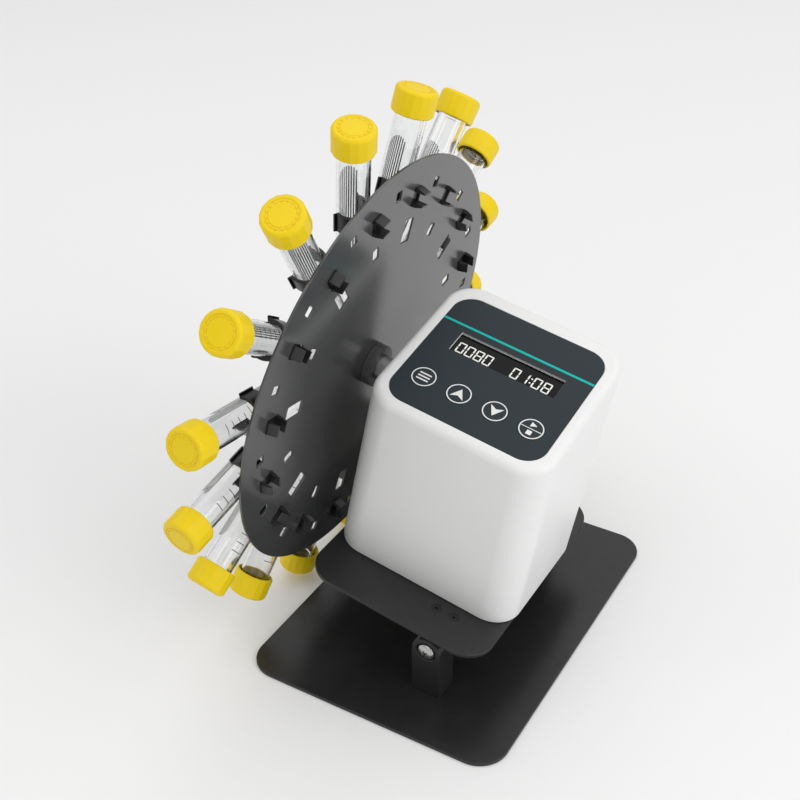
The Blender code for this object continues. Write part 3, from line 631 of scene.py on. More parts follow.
slope_rise = math.tan(PANEL_SLOPE)
panel_z = HOUSING_TOP_Z + slope_rise * PANEL_CENTRE[1]
panel_local = Matrix.Translation((*PANEL_CENTRE, panel_z)) @ Matrix.Rotation(PANEL_SLOPE, 4, "X")
panel_place = head_place @ panel_local


def housing_ring(share, inset, drop, corner_steps=14):
    """A level ring of the cover: share 0 is its foot and 1 its sloped top."""
    width = HOUSING_FOOT[0] + share * (HOUSING_TOP[0] - HOUSING_FOOT[0]) - 2 * inset
    length = HOUSING_FOOT[1] + share * (HOUSING_TOP[1] - HOUSING_FOOT[1]) - 2 * inset
    foot_z = PLATE_TOP + GAP
    points = []
    for x, y in rounded_rectangle(width, length, HOUSING_CORNER - inset, corner_steps):
        top_z = HOUSING_TOP_Z + slope_rise * y
        points.append((HOUSING_MIDDLE_X + x, y, foot_z + share * (top_z - foot_z) - drop))
    return points


def window_outline(grow, radius, steps):
    """Outline of the display's window, wider and taller by grow."""
    flat = rounded_rectangle(WINDOW_WIDTH + grow, WINDOW_HEIGHT + grow, radius, steps)
    return [(WINDOW_CENTRE[0] + x, WINDOW_CENTRE[1] + y) for x, y in flat]


def seat_ring(grow, depth, corner_steps=14):
    """A ring round the panel's seat, at a depth below the sloped face."""
    flat = rounded_rectangle(
        PANEL_WIDTH + 2 * grow, PANEL_LENGTH + 2 * grow, PANEL_CORNER + grow, corner_steps
    )
    return [tuple(panel_local @ Vector((x, y, -depth))) for x, y in flat]


def joined(name, meshes):
    """Several meshes in one, as one moulding or one print."""
    shape = bmesh.new()
    for mesh in meshes:
        shape.from_mesh(mesh)
        bpy.data.meshes.remove(mesh)
    return as_mesh(name, shape)


def circle(radius, middle=(0.0, 0.0), steps=64):
    return arc(radius, 0, 2 * math.pi * (steps - 1) / steps, steps - 1, middle)


abs_white = grained_finish(
    "satin_white_abs",
    (0.825, 0.825, 0.822),
    0.36,
    (0.00050, 0.22),
    0.012,
    0.04,
    (0.0006, 0.12, (0.88, 0.88, 0.87)),
    Subsurface_Weight=0.04,
    Subsurface_Radius=(0.0012, 0.0010, 0.0008),
)

foot_round = ((0.0006, 0.0), (0.0002, -0.0002), (0.0, -0.0006))
rings = [housing_ring(0, inset, drop) for inset, drop in foot_round]
rings += [housing_ring(step / 16, 0.0, 0.0) for step in range(1, 16)]
for step in range(9):
    angle = math.pi / 2 * step / 8
    inset, drop = HOUSING_EDGE * (1 - math.cos(angle)), HOUSING_EDGE * (1 - math.sin(angle))
    rings.append(housing_ring(1, inset, drop))
rings.append(housing_ring(1, HOUSING_EDGE + 0.0004, 0.0))
seat_round = ((0.0007, 0.0), (0.0002, 0.0), (0.00006, 0.00006), (0.0, 0.0002), (0.0, HOUSING_WALL))
rings += [seat_ring(GAP + grow, depth) for grow, depth in seat_round]
rings.append(housing_ring(1, HOUSING_WALL + HOUSING_EDGE, HOUSING_WALL))
rings.append(housing_ring(1, HOUSING_WALL, HOUSING_WALL + HOUSING_EDGE))
rings += [housing_ring(share, HOUSING_WALL, 0.0) for share in (0.9, 0.6, 0.3, 0.0)]
cover = skinned("housing_cover", rings, loop=True)
openings = (
    ("shaft_opening", BUSH_RADIUS, (HOUSING_MIDDLE_X - HOUSING_FOOT[0] / 2, 0, AXIS_Z), "Y"),
    ("jack_opening", JACK_BARREL_RADIUS, (HOUSING_MIDDLE_X, HOUSING_FOOT[1] / 2, JACK_HEIGHT), "X"),
)
cutters = []
for name, radius, middle, axis in openings:
    reach = radius + GAP
    ends = [(0, CUTTER_HALF), (reach, CUTTER_HALF), (reach, -CUTTER_HALF), (0, -CUTTER_HALF)]
    stand = Matrix.Translation(middle) @ Matrix.Rotation(math.pi / 2, 4, axis)
    cutters.append(moved(turned(name, ends), stand))
cover = carved(cover, cutters)
seat_floor = cut_sheet(
    "seat_floor",
    rounded_rectangle(PANEL_WIDTH + 0.0020, PANEL_LENGTH + 0.0020, PANEL_CORNER, 14),
    [window_outline(0.0002, 0.0005, 3), *(circle(KEY_RADIUS + 0.0003, at) for at in KEY_PLACES)],
    -SEAT_DEPTH - SEAT_THICKNESS,
    -SEAT_DEPTH,
    0.0001,
)
moved(seat_floor, panel_local)
cover = smooth_round(joined("housing_cover", [cover, seat_floor]), 40)
fit_piece("housing_cover", cover, "head", head_place, [abs_white], ["housing"])


# ----------------------------------------
# Control panel. A slate polycarbonate overlay lies in the seat, with a window for the display and
# a hole for each key. A teal line is printed across it. The window's cut edge is painted a pale
# grey as a painted highlight of its lip.
STRIPE_Y = 0.02125
STRIPE_WIDTH = 0.0015
PRINT = 0.00003
PRINT_EDGE = 0.00001
SLATE = (0.0215, 0.0310, 0.0370)


def slate(name):
    """The dark film of the overlay and the keys."""
    wear = (0.0003, 0.2, (0.10, 0.12, 0.13))
    grain = (0.00018, 0.30)
    return grained_finish(name, SLATE, 0.50, grain, 0.04, 0.03, wear, Specular_IOR_Level=0.22)


def bar_outline(half_width, low, high):
    return [(-half_width, low), (half_width, low), (half_width, high), (-half_width, high)]


slate_film = slate("slate_overlay")
# The window's cut edge is painted pale grey in place of the highlight on its lip.
window_edge_painted_highlight = grained_finish("overlay_edge_painted_highlight", (0.62, 0.63, 0.62), 0.4)
teal_ink = grained_finish(
    "teal_ink", (0.002, 0.470, 0.425), 0.60, (0.00020, 0.25), 0.04, Specular_IOR_Level=0.2
)

key_holes = [circle(KEY_RADIUS + 0.00004, place, 72) for place in KEY_PLACES]
overlay = cut_sheet(
    "panel_overlay",
    rounded_rectangle(PANEL_WIDTH, PANEL_LENGTH, PANEL_CORNER, 24),
    [window_outline(0, 0.0004, 4), *key_holes],
    -PANEL_THICKNESS,
    0.0,
    0.00006,
)
overlay = smooth_round(overlay, 50)
node = "control_panel"
fit_piece("panel_overlay", overlay, "head", panel_place, [slate_film, window_edge_painted_highlight], [node])
near_x, near_y = WINDOW_WIDTH / 2 + 0.0001, WINDOW_HEIGHT / 2 + 0.0001
# The faces round the window's cut edge take the second finish, the pale painted highlight.
for face in overlay.polygons:
    from_window = face.center - Vector((*WINDOW_CENTRE, face.center.z))
    near = abs(from_window.x) < near_x and abs(from_window.y) < near_y
    if near and abs(face.normal.z) < 0.9:
        face.material_index = 1
stripe_end = PANEL_WIDTH / 2 - 0.00006
low, high = STRIPE_Y - STRIPE_WIDTH / 2, STRIPE_Y + STRIPE_WIDTH / 2
stripe = bar_outline(stripe_end, low, high)
stripe = cut_sheet("teal_stripe", stripe, [], -PRINT, PRINT, PRINT_EDGE)
fit_piece("teal_stripe", stripe, "head", panel_place, [teal_ink])


# ----------------------------------------
# Display. A black liquid-crystal module behind the window, with a gloss face. Its seven-segment
# figures are four for the speed and four, split by a colon, for the time left.
DIGIT_HEIGHT = 0.0075
DIGIT_WIDTH = 0.0043
DIGIT_FOOT = 0.0035
SEGMENT = 0.00076
DISPLAY_FACE = -0.00145
SEGMENTS = {"0": "abcdef", "1": "bc", "8": "abcdefg"}
FIGURES = [(-0.02805 + 0.0053 * place, digit) for place, digit in enumerate("0080")]
FIGURES += [(0.0041, "0"), (0.0094, "1"), (0.0165, "0"), (0.0221, "8")]
COLON_X = 0.0152
COLON_DOT = 0.00050
MODULE_BACK = -0.0056


def seven_segment(digit, left, foot):
    """Outlines of a figure's segments, with mitred ends and thin gaps between them."""
    right, top, middle = left + DIGIT_WIDTH, foot + DIGIT_HEIGHT, foot + DIGIT_HEIGHT / 2
    gap, width = 0.00010, SEGMENT

    def level(y, inner):
        return [
            (left + gap + 0.0001, y),
            (right - gap - 0.0001, y),
            (right - width - gap, y + inner * width),
            (left + width + gap, y + inner * width),
        ]

    def upright_bar(x, inner, low, high, low_cut, high_cut):
        return [
            (x, low + gap + 0.0001 * low_cut),
            (x, high - gap - 0.0001 * high_cut),
            (x + inner * width, high - gap - width * high_cut),
            (x + inner * width, low + gap + width * low_cut),
        ]

    half = width / 2
    outlines = {
        "a": level(top, -1),
        "d": level(foot, 1),
        "g": [
            (left + half + gap, middle),
            (left + width + gap, middle + half),
            (right - width - gap, middle + half),
            (right - half - gap, middle),
            (right - width - gap, middle - half),
            (left + width + gap, middle - half),
        ],
        "b": upright_bar(right, -1, middle, top, 0.5, 1),
        "c": upright_bar(right, -1, foot, middle, 1, 0.5),
        "f": upright_bar(left, 1, middle, top, 0.5, 1),
        "e": upright_bar(left, 1, foot, middle, 1, 0.5),
    }
    return [outlines[segment] for segment in SEGMENTS[digit]]


display_gloss = grained_finish(
    "display_gloss_black",
    (0.0045, 0.0045, 0.0050),
    0.16,
    (0.0020, 0.02),
    0.05,
    0.03,
    Specular_IOR_Level=0.14,
)
lit_segment = grained_finish(
    "lit_segment",
    (0.78, 0.78, 0.75),
    0.40,
    (0.0003, 0.1),
    0.03,
    Emission_Color=(0.95, 0.95, 0.90, 1),
    Emission_Strength=0.18,
)

module = window_outline(0.0010, 0.0006, 4)
module = cut_sheet("display_module", module, [], MODULE_BACK, DISPLAY_FACE - 0.00005, 0.0001)
module = smooth_round(module)
fit_piece("display_module", module, "head", panel_place, [display_gloss], ["display"])
marks = [outline for left, digit in FIGURES for outline in seven_segment(digit, left, DIGIT_FOOT)]
for share in (0.30, 0.70):
    marks.append(circle(COLON_DOT, (COLON_X, DIGIT_FOOT + DIGIT_HEIGHT * share), 16))
figures = joined(
    "display_figures",
    [
        cut_sheet("segment", outline, [], DISPLAY_FACE - 0.00008, DISPLAY_FACE, PRINT_EDGE)
        for outline in marks
    ],
)
fit_piece("display_figures", figures, "head", panel_place, [lit_segment])


# ----------------------------------------
# Keys. Four round membrane keys of the same slate film, each with a white printed ring and sign:
# menu, up, down, and start and stop. Each moves 0.4 mm into the panel.
KEY_RISE = 0.00015
KEY_SKIRT = 0.0016
RING_OUTER = 0.00646
RING_INNER = 0.00582
STEM_RADIUS = 0.0016
STEM_FOOT = -0.0031


def key_print(outline, holes=()):
    return cut_sheet("sign", outline, holes, KEY_RISE - PRINT, KEY_RISE + PRINT, PRINT_EDGE)


key_film = slate("slate_key")
white_ink = grained_finish("white_ink", (0.80, 0.80, 0.79), 0.42, (0.00020, 0.25), 0.04)

bars = [bar_outline(0.0034, y - 0.00045, y + 0.00045) for y in (-0.0021, 0.0, 0.0021)]
arrow = [(0.0, 0.0034), (-0.0038, -0.0032), (0.0, -0.0014), (0.0038, -0.0032)]
divider = bar_outline(0.0056, -0.00022, 0.00022)
start_sign = [(-0.0014, 0.0012), (0.0020, 0.0028), (-0.0014, 0.0044)]
stop_sign = bar_outline(0.0014, -0.0041, -0.0013)
signs = {
    "menu_key": bars,
    "up_key": [arrow],
    "down_key": [[(x, -y) for x, y in reversed(arrow)]],
    "start_stop_key": [divider, start_sign, stop_sign],
}
key_profile = [
    (0, KEY_RISE),
    (KEY_RADIUS - 0.00045, KEY_RISE),
    (KEY_RADIUS - 0.00015, KEY_RISE - 0.00004),
    (KEY_RADIUS - 0.00004, KEY_RISE - 0.00014),
    (KEY_RADIUS - 0.00004, -KEY_SKIRT),
    (STEM_RADIUS, -KEY_SKIRT),
    (STEM_RADIUS, STEM_FOOT),
    (0, STEM_FOOT),
]
for (name, outlines), (x, y) in zip(signs.items(), KEY_PLACES):
    place = panel_place @ Matrix.Translation((x, y, 0))
    cap = smooth_round(turned(f"{name}_film", key_profile, 72))
    fit_piece(f"{name}_film", cap, f"{name}_body", place, [key_film], [name])
    prints = [key_print(circle(RING_OUTER, (0, 0), 72), [circle(RING_INNER, (0, 0), 72)])]
    prints += [key_print(outline) for outline in outlines]
    fit_piece(f"{name}_print", joined(f"{name}_print", prints), f"{name}_body", place, [white_ink])


# ----------------------------------------
# Inside the housing. A green circuit board, a zinc-plated gear motor and its folded bracket. They
# are closed in, so the frame's own solids stay, with their real finishes.
board_green = grained_finish("solder_mask", (0.015, 0.110, 0.045), 0.34, (0.0008, 0.2), 0.12)
zinc = turned_metal("zinc_plate", (0.50, 0.51, 0.52), 0.32, 0.25)
for node, finish in (("control_board", board_green), ("gear_motor", zinc), ("motor_bracket", zinc)):
    for held in frame["nodes"][node].material_slots:
        held.material = finish


# ----------------------------------------
# Power inlet. A black moulded barrel jack in the rear wall, with a flange outside
# and a bright steel centre pin.
JACK_FLANGE_RADIUS = 0.0068
JACK_BORE_RADIUS = 0.0032
JACK_PIN_RADIUS = 0.0010
JACK_WALL_Y = HOUSING_FOOT[1] / 2 + 0.0010

black_nylon = grained_finish("black_nylon", (0.018, 0.018, 0.018), 0.44, (0.00035, 0.30), 0.10)
jack_profile = [
    (JACK_BORE_RADIUS, -0.0100),
    (JACK_BORE_RADIUS, 0.0006),
    (JACK_BORE_RADIUS + 0.0004, 0.0010),
    (JACK_FLANGE_RADIUS - 0.0003, 0.0010),
    (JACK_FLANGE_RADIUS - 0.0001, 0.0009),
    (JACK_FLANGE_RADIUS, 0.0007),
    (JACK_FLANGE_RADIUS, 0),
    (JACK_BARREL_RADIUS, 0),
    (JACK_BARREL_RADIUS, -0.0120),
    (0, -0.0120),
    (0, -0.0100),
]
jack_place = head_place @ Matrix.Translation((HOUSING_MIDDLE_X, JACK_WALL_Y, JACK_HEIGHT))
jack_place = jack_place @ Matrix.Rotation(-math.pi / 2, 4, "X")
jack = smooth_round(turned("inlet_jack", jack_profile, 56, closed=True))
fit_piece("inlet_jack", jack, "head", jack_place, [black_nylon], ["power_jack"])
pin_profile = [
    (0, -0.0040),
    (JACK_PIN_RADIUS * 0.6, -0.0041),
    (JACK_PIN_RADIUS, -0.0047),
    (JACK_PIN_RADIUS, -0.0102),
    (0, -0.0102),
]
pin = smooth_round(turned("inlet_pin", pin_profile, 24))
fit_piece("inlet_pin", pin, "head", jack_place, [stainless])


# ----------------------------------------
# Shaft bush. A black acetal ring with a thin flange, pressed into the left wall of the housing
# for the drive shaft to turn in.
SHAFT_RADIUS = 0.0070
BUSH_FLANGE_RADIUS = 0.0100
wall_share = (AXIS_Z - PLATE_TOP) / (HOUSING_TOP_Z - PLATE_TOP)
wall_half = (HOUSING_FOOT[0] + wall_share * (HOUSING_TOP[0] - HOUSING_FOOT[0])) / 2
BUSH_WALL_X = HOUSING_MIDDLE_X - wall_half
along_x = Matrix.Rotation(math.pi / 2, 4, "Y")
bush_profile = [
    (SHAFT_RADIUS + GAP, BUSH_WALL_X + 0.0035),
    (BUSH_RADIUS, BUSH_WALL_X + 0.0035),
    (BUSH_RADIUS, BUSH_WALL_X - 0.0006),
    (BUSH_FLANGE_RADIUS, BUSH_WALL_X - 0.0006),
    (BUSH_FLANGE_RADIUS, BUSH_WALL_X - 0.0012),
    (BUSH_FLANGE_RADIUS - 0.0002, BUSH_WALL_X - 0.0014),
    (SHAFT_RADIUS + GAP + 0.0003, BUSH_WALL_X - 0.0014),
    (SHAFT_RADIUS + GAP, BUSH_WALL_X - 0.0011),
]
bush_place = head_place @ Matrix.Translation((0, 0, AXIS_Z)) @ along_x
bush = smooth_round(turned("acetal_bush", bush_profile, 72, closed=True))
fit_piece("acetal_bush", bush, "head", bush_place, [black_nylon], ["shaft_bush"])


# ----------------------------------------
# Drive shaft, collar and nut. A blackened 14 mm steel shaft comes out of the gear motor. The disc
# sits against a grooved black collar on it, and a plain hexagon nut on its thread holds it there.
DISC_THICKNESS = 0.0012
COLLAR_RADIUS = 0.0119
COLLAR_LENGTH = 0.0053
THREAD_RADIUS = 0.0050
THREAD_PITCH = 0.0010
NUT_RADIUS = 0.0095
NUT_HEIGHT = 0.0042
SHAFT_END = 0.0050
NECK_RADIUS = 0.0030
GEARBOX_FACE_X = -0.0687

rotor_middle = Matrix.Translation(Vector(joints["disc_spin"]["pos_m"]))
rotor_place = rotor_middle @ Matrix.Rotation(HEAD_LEAN, 4, "Y")
rotor_from_head = rotor_place.inverted() @ head_place
gearbox_face = (rotor_from_head @ Vector((GEARBOX_FACE_X, 0, AXIS_Z))).x
nut_face = -DISC_THICKNESS - GAP
shoulder = COLLAR_LENGTH / 2

shaft_steel = turned_metal("blackened_steel", (0.46, 0.46, 0.465), 0.32, 0.35)
collar_wear = (0.0004, 0.5, (0.12, 0.12, 0.12))
collar_black = grained_finish(
    "collar_satin_black", (0.070, 0.070, 0.072), 0.30, (0.0003, 0.3), 0.08, 0.05, collar_wear
)
plain_steel = turned_metal("plain_nut_steel", (0.56, 0.56, 0.55), 0.28, 0.3)

shaft_profile = [
    (0, gearbox_face + 0.0110),
    (NECK_RADIUS - 0.0003, gearbox_face + 0.0110),
    (NECK_RADIUS, gearbox_face + 0.0107),
    (NECK_RADIUS, gearbox_face - 0.0010),
    (SHAFT_RADIUS - 0.0003, gearbox_face - 0.0010),
    (SHAFT_RADIUS, gearbox_face - 0.0013),
    (SHAFT_RADIUS, shoulder),
    (THREAD_RADIUS, shoulder),
    (THREAD_RADIUS, nut_face),
]
thread_turns = int((SHAFT_END - 0.0008) / THREAD_PITCH)
for turn in range(thread_turns):
    start = nut_face - turn * THREAD_PITCH
    shaft_profile += [
        (THREAD_RADIUS, start - 0.10 * THREAD_PITCH),
        (THREAD_RADIUS - 0.0004, start - 0.50 * THREAD_PITCH),
        (THREAD_RADIUS, start - 0.90 * THREAD_PITCH),
    ]
shaft_profile += [(THREAD_RADIUS - 0.0006, nut_face - SHAFT_END), (0, nut_face - SHAFT_END)]
shaft = smooth_round(turned("output_shaft", shaft_profile, 72))
rotor_axle = rotor_place @ along_x
fit_piece("output_shaft", shaft, "rotor", rotor_axle, [shaft_steel], ["drive_shaft"])

bore = SHAFT_RADIUS + GAP
groove = GAP + COLLAR_LENGTH * 0.45
collar_profile = [
    (bore, COLLAR_LENGTH + GAP),
    (COLLAR_RADIUS - 0.0004, COLLAR_LENGTH + GAP),
    (COLLAR_RADIUS - 0.0001, COLLAR_LENGTH + GAP - 0.0001),
    (COLLAR_RADIUS, COLLAR_LENGTH + GAP - 0.0004),
    (COLLAR_RADIUS, groove + 0.00025),
    (COLLAR_RADIUS - 0.0004, groove + 0.00010),
    (COLLAR_RADIUS - 0.0004, groove - 0.00010),
    (COLLAR_RADIUS, groove - 0.00025),
    (COLLAR_RADIUS, GAP + 0.0002),
    (COLLAR_RADIUS - 0.0002, GAP * 0.2),
    (THREAD_RADIUS + GAP, GAP * 0.2),
    (THREAD_RADIUS + GAP, shoulder - GAP),
    (bore, shoulder - GAP),
]
collar = smooth_round(turned("disc_collar", collar_profile, 96, closed=True))
fit_piece("disc_collar", collar, "rotor", rotor_axle, [collar_black], ["hub_collar"])


def hexagon_nut(name, radius, bore_radius, low, high, samples=12):
    """A nut with flat sides whose corners are chamfered at both ends."""
    sides = 6 * samples
    flat = radius * math.cos(math.pi / 6)
    levels = [(bore_radius, low + 0.0003), (bore_radius + 0.0003, low), (flat * 0.98, low)]
    levels += [(None, low + 0.0005), (None, high - 0.0005), (flat * 0.98, high)]
    levels += [(bore_radius + 0.0003, high), (bore_radius, high - 0.0003)]
    rows = []
    for size, height in levels:
        row = []
        for side in range(sides):
            angle = 2 * math.pi * side / sides
            from_flat = (angle % (math.pi / 3)) - math.pi / 6
            hexagonal = min(flat / math.cos(from_flat), radius * 0.985)
            row.append(around(size or hexagonal, angle, height))
        rows.append(row)
    return skinned(name, rows, loop=True)


nut_bore = THREAD_RADIUS + GAP * 0.5
nut = hexagon_nut("hexagon_nut", NUT_RADIUS, nut_bore, nut_face - NUT_HEIGHT, nut_face)
nut = smooth_round(nut, 25)
fit_piece("hexagon_nut", nut, "rotor", rotor_axle, [plain_steel], ["disc_nut"])


# ----------------------------------------
# Disc. A 1.2 mm steel sheet disc with a semi-gloss black coat, 236 mm across. It is cut with a
# bore, a slot for each clip's prongs, and spare slots in three sizes for other clips.
DISC_RADIUS = 0.1182
TUBE_COUNT = 16
FIRST_TUBE = math.radians(12.45)
STATION_STEP = 2 * math.pi / TUBE_COUNT
CLIP_RADIUS = 0.0975
PRONG_WIDTH = 0.0074
PRONG_INNER = 0.0029
PRONG_OUTER = 0.0048
PRONG_SLOT = (2 * (PRONG_OUTER + GAP), PRONG_WIDTH + 2 * GAP)
DISC_EDGE = 0.00018
LARGE_SLOT = (0.0132, 0.0083)
SMALL_SLOT = (0.0071, 0.0054)
RIM_SLOT = (0.0059, 0.0052)
INNER_SLOTS_RADIUS = 0.0783
RIM_SLOTS_RADIUS = 0.1032


def slot_outline(angle, radius, length, width):
    """A slot with small round corners: length is along the radius, width across it."""
    ring = rounded_rectangle(length, width, 0.0005, 3)
    turn = Matrix.Rotation(angle, 2)
    return [tuple(turn @ Vector((radius + x, y))) for x, y in ring]


disc_wear = (0.0003, 0.15, (0.09, 0.09, 0.09))
disc_gloss = grained_finish(
    "disc_semi_gloss", (0.060, 0.061, 0.062), 0.20, (0.0012, 0.03), 0.04, 0.02, disc_wear, IOR=1.75
)
disc_holes = [circle(THREAD_RADIUS + GAP, (0, 0), 48)]
for station in range(TUBE_COUNT):
    angle = FIRST_TUBE + station * STATION_STEP
    inner_slot = LARGE_SLOT if station % 2 else SMALL_SLOT
    disc_holes.append(slot_outline(angle, CLIP_RADIUS, *PRONG_SLOT))
    disc_holes.append(slot_outline(angle, INNER_SLOTS_RADIUS, *inner_slot))
    disc_holes.append(slot_outline(angle - STATION_STEP / 2, RIM_SLOTS_RADIUS, *RIM_SLOT))
disc_round = circle(DISC_RADIUS, (0, 0), 288)
plate = cut_sheet("mixing_disc", disc_round, disc_holes, -DISC_THICKNESS, 0.0, DISC_EDGE)
plate = smooth_round(plate, 50)
# The disc is drawn in XY; its X goes to the rotor's Y, its Y to Z and its thickness to X.
disc_stand = rotor_place @ Matrix(((0, 0, 1, 0), (1, 0, 0, 0), (0, 1, 0, 0), (0, 0, 0, 1)))
fit_piece("mixing_disc", plate, "rotor", disc_stand, [disc_gloss], ["disc"])


# ----------------------------------------
# Clips. Sixteen black nylon C clips with flared lips. Two flat barbed prongs on the foot of each
# snap through a slot in the disc and stand out behind it.
TUBE_RADIUS = 0.00825
TUBE_AXIS_X = -0.0139
CLIP_LENGTH = 0.0105
CLIP_WALL = 0.0016
CLIP_MOUTH = math.radians(70)
HOOK_REACH = 0.0058
HOOK_WIDTH = 0.0064
HOOK_OUTER = 0.0046
HOOK_BARB = 0.0006


def clip_section():
    """The clip seen along the tube: X is across, Y points away from the disc."""
    inner = TUBE_RADIUS + GAP * 0.4
    outer = TUBE_RADIUS + GAP + CLIP_WALL
    seat = -TUBE_AXIS_X - DISC_THICKNESS - GAP * 0.3
    foot_angle = math.acos(-0.86)
    outside = [
        (outer * math.sin(a), outer * math.cos(a))
        for a in [foot_angle + (CLIP_MOUTH - foot_angle) * step / 20 for step in range(21)]
    ]
    lip = [(outer * 1.07, outer * 0.34), (outer * 1.06, outer * 0.41), (outer * 1.00, outer * 0.46)]
    start = CLIP_MOUTH - math.radians(3)
    inside = [
        (inner * math.sin(a), inner * math.cos(a))
        for a in [start + (math.pi - start) * step / 28 for step in range(29)]
    ]
    foot_x = outside[0][0] + 0.0008
    half = [(foot_x, -seat), (foot_x, -seat + 0.0010), *outside, *lip, *inside]
    return half + [(-x, y) for x, y in reversed(half[:-1])]


def prong(side):
    """One snap prong with a sloped barb, drawn in the radial and axial directions."""
    back = DISC_THICKNESS + 0.0010
    outline = [
        (PRONG_INNER, -back),
        (PRONG_INNER, HOOK_REACH),
        (PRONG_INNER + 0.0009, HOOK_REACH),
        (HOOK_OUTER + HOOK_BARB, 0.0015),
        (HOOK_OUTER + HOOK_BARB, GAP),
        (HOOK_OUTER, GAP),
        (HOOK_OUTER, -back),
    ]
    mesh = cut_sheet("prong", outline, [], -HOOK_WIDTH / 2, HOOK_WIDTH / 2, 0.0002)
    to_clip = Matrix(((0, 1, 0, -TUBE_AXIS_X), (0, 0, -1, 0), (side, 0, 0, 0), (0, 0, 0, 1)))
    return moved(mesh, to_clip)


clip_wear = (0.0004, 0.4, (0.06, 0.06, 0.06))
clip_nylon = grained_finish(
    "clip_nylon", (0.0135, 0.0135, 0.0140), 0.33, (0.00040, 0.25), 0.10, 0.06, clip_wear
)
ring = cut_sheet("clip_ring", clip_section(), [], -CLIP_LENGTH / 2, CLIP_LENGTH / 2, 0.00030)
moved(ring, Matrix(((0, -1, 0, 0), (1, 0, 0, 0), (0, 0, 1, 0), (0, 0, 0, 1))))
tube_clip = smooth_round(joined("tube_clip", [ring, prong(1), prong(-1)]), 40)
stations = []
for station in range(TUBE_COUNT):
    angle = FIRST_TUBE + station * STATION_STEP
    stations.append(rotor_place @ Matrix.Rotation(angle - math.pi / 2, 4, "X"))
for number, station in enumerate(stations, 1):
    place = station @ Matrix.Translation((TUBE_AXIS_X, 0, CLIP_RADIUS))
    node = f"clip_{number:02d}"
    fit_piece(f"tube_{node}", tube_clip, "rotor", place, [clip_nylon], [node])


# ----------------------------------------
# Tubes. Sixteen clear 15 ml tubes of moulded polystyrene with a 1 mm wall, a conical tip and a
# screw thread at the mouth. Graduation lines and a ribbed writing patch are printed outside.
TUBE_TIP = 0.0290
TUBE_END = 0.1490
CONE_LENGTH = 0.0220
CAP_HEIGHT = 0.0132
TUBE_WALL = 0.0010
MOUTH = TUBE_END - 0.0018
PATCH_TOP = 0.1215
PATCH_FOOT = 0.0670
PATCH_MIDDLE = math.radians(150)
PATCH_RIBS = 9
RIB_PITCH = math.radians(9.6)
LINES_MIDDLE = math.radians(36)
INK_LIFT = 0.00001
INK_THICKNESS = 0.00004
RIB_THICKNESS = 0.00012


def threaded(name, radius, height, pitch, turns, start):
    """A round bead wound as a screw thread, with tapered ends."""
    steps = 40
    rows = []
    for step in range(int(steps * turns) + 1):
        angle = 2 * math.pi * step / steps
        full = min(1.0, step / 8, (steps * turns - step) / 8)
        z = start + pitch * step / steps
        corners = ((-0.2, -1.0), (full, -0.35), (full, 0.35), (-0.2, 1.0))
        bead = [(radius + height * out, z + up * pitch * 0.26) for out, up in corners]
        rows.append([around(reach, angle, level) for reach, level in bead])
    return skinned(name, rows, ends=True)


def printed_strips(name, strips, radius, thickness):
    """Curved strips on a tube: each has two angles and two heights."""
    outer = radius + thickness
    meshes = []
    for first, last, low, high in strips:
        steps = max(2, round((last - first) / math.radians(6)))
        angles = [first + (last - first) * step / steps for step in range(steps + 1)]
        corners = ((radius, low), (outer, low), (outer, high), (radius, high))
        rows = [[around(reach, angle, z) for reach, z in corners] for angle in angles]
        meshes.append(skinned("strip", rows, ends=True))
    return joined(name, meshes)


clear_plastic, clear_tree, clear_shader = new_finish("clear_polystyrene")
clear_shader.inputs["Base Color"].default_value = (0.985, 0.990, 0.990, 1)
clear_shader.inputs["Transmission Weight"].default_value = 1.0
clear_shader.inputs["IOR"].default_value = 1.52
smears = cloud(clear_tree, 0.0080, 5.0, 0.6, (1, 1, 0.3))
smears = stretched(clear_tree, smears, 0.35, 0.75, 0.015, 0.09)
clear_tree.links.new(smears, clear_shader.inputs["Roughness"])
flow = cloud(clear_tree, 0.0030, 2.0, 0.5, (1, 1, 0.12))
flow_bump = {"Height": flow, "Strength": 0.12, "Distance": 0.00006}
flow_bump = wire(clear_tree, "ShaderNodeBump", flow_bump)
clear_tree.links.new(flow_bump.outputs[0], clear_shader.inputs["Normal"])

tube_ink = grained_finish("tube_ink", (0.045, 0.045, 0.048), 0.5, (0.00015, 0.3), 0.15)
patch_white = grained_finish("patch_frost", (0.62, 0.62, 0.61), 0.55, (0.00020, 0.4), 0.10)

cone_end = TUBE_TIP + CONE_LENGTH
inner_radius = TUBE_RADIUS - TUBE_WALL
tube_profile = [
    (0, TUBE_TIP),
    (0.0012, TUBE_TIP),
    (0.0018, TUBE_TIP + 0.0003),
    (0.0026, TUBE_TIP + 0.0012),
    (TUBE_RADIUS - 0.0004, cone_end - 0.0014),
    (TUBE_RADIUS - 0.0001, cone_end - 0.0005),
    (TUBE_RADIUS, cone_end + 0.0005),
    (TUBE_RADIUS, TUBE_END - CAP_HEIGHT - 0.0012),
    (TUBE_RADIUS - 0.0002, TUBE_END - CAP_HEIGHT + 0.0002),
    (TUBE_RADIUS - 0.0002, MOUTH - 0.0004),
    (TUBE_RADIUS - 0.0004, MOUTH),
    (inner_radius + 0.0002, MOUTH),
    (inner_radius, MOUTH - 0.0004),
    (inner_radius, cone_end + 0.0006),
    (inner_radius - 0.0002, cone_end - 0.0004),
    (0.0022, TUBE_TIP + 0.0024),
    (0.0012, TUBE_TIP + 0.0016),
    (0, TUBE_TIP + 0.0014),
]
thread_start = TUBE_END - CAP_HEIGHT + 0.0022
thread = threaded("tube_thread", TUBE_RADIUS - 0.0002, 0.0009, 0.0032, 2.4, thread_start)
clear_tube = joined("clear_tube", [turned("tube_wall", tube_profile, 64), thread])
clear_tube = smooth_round(clear_tube, 8)

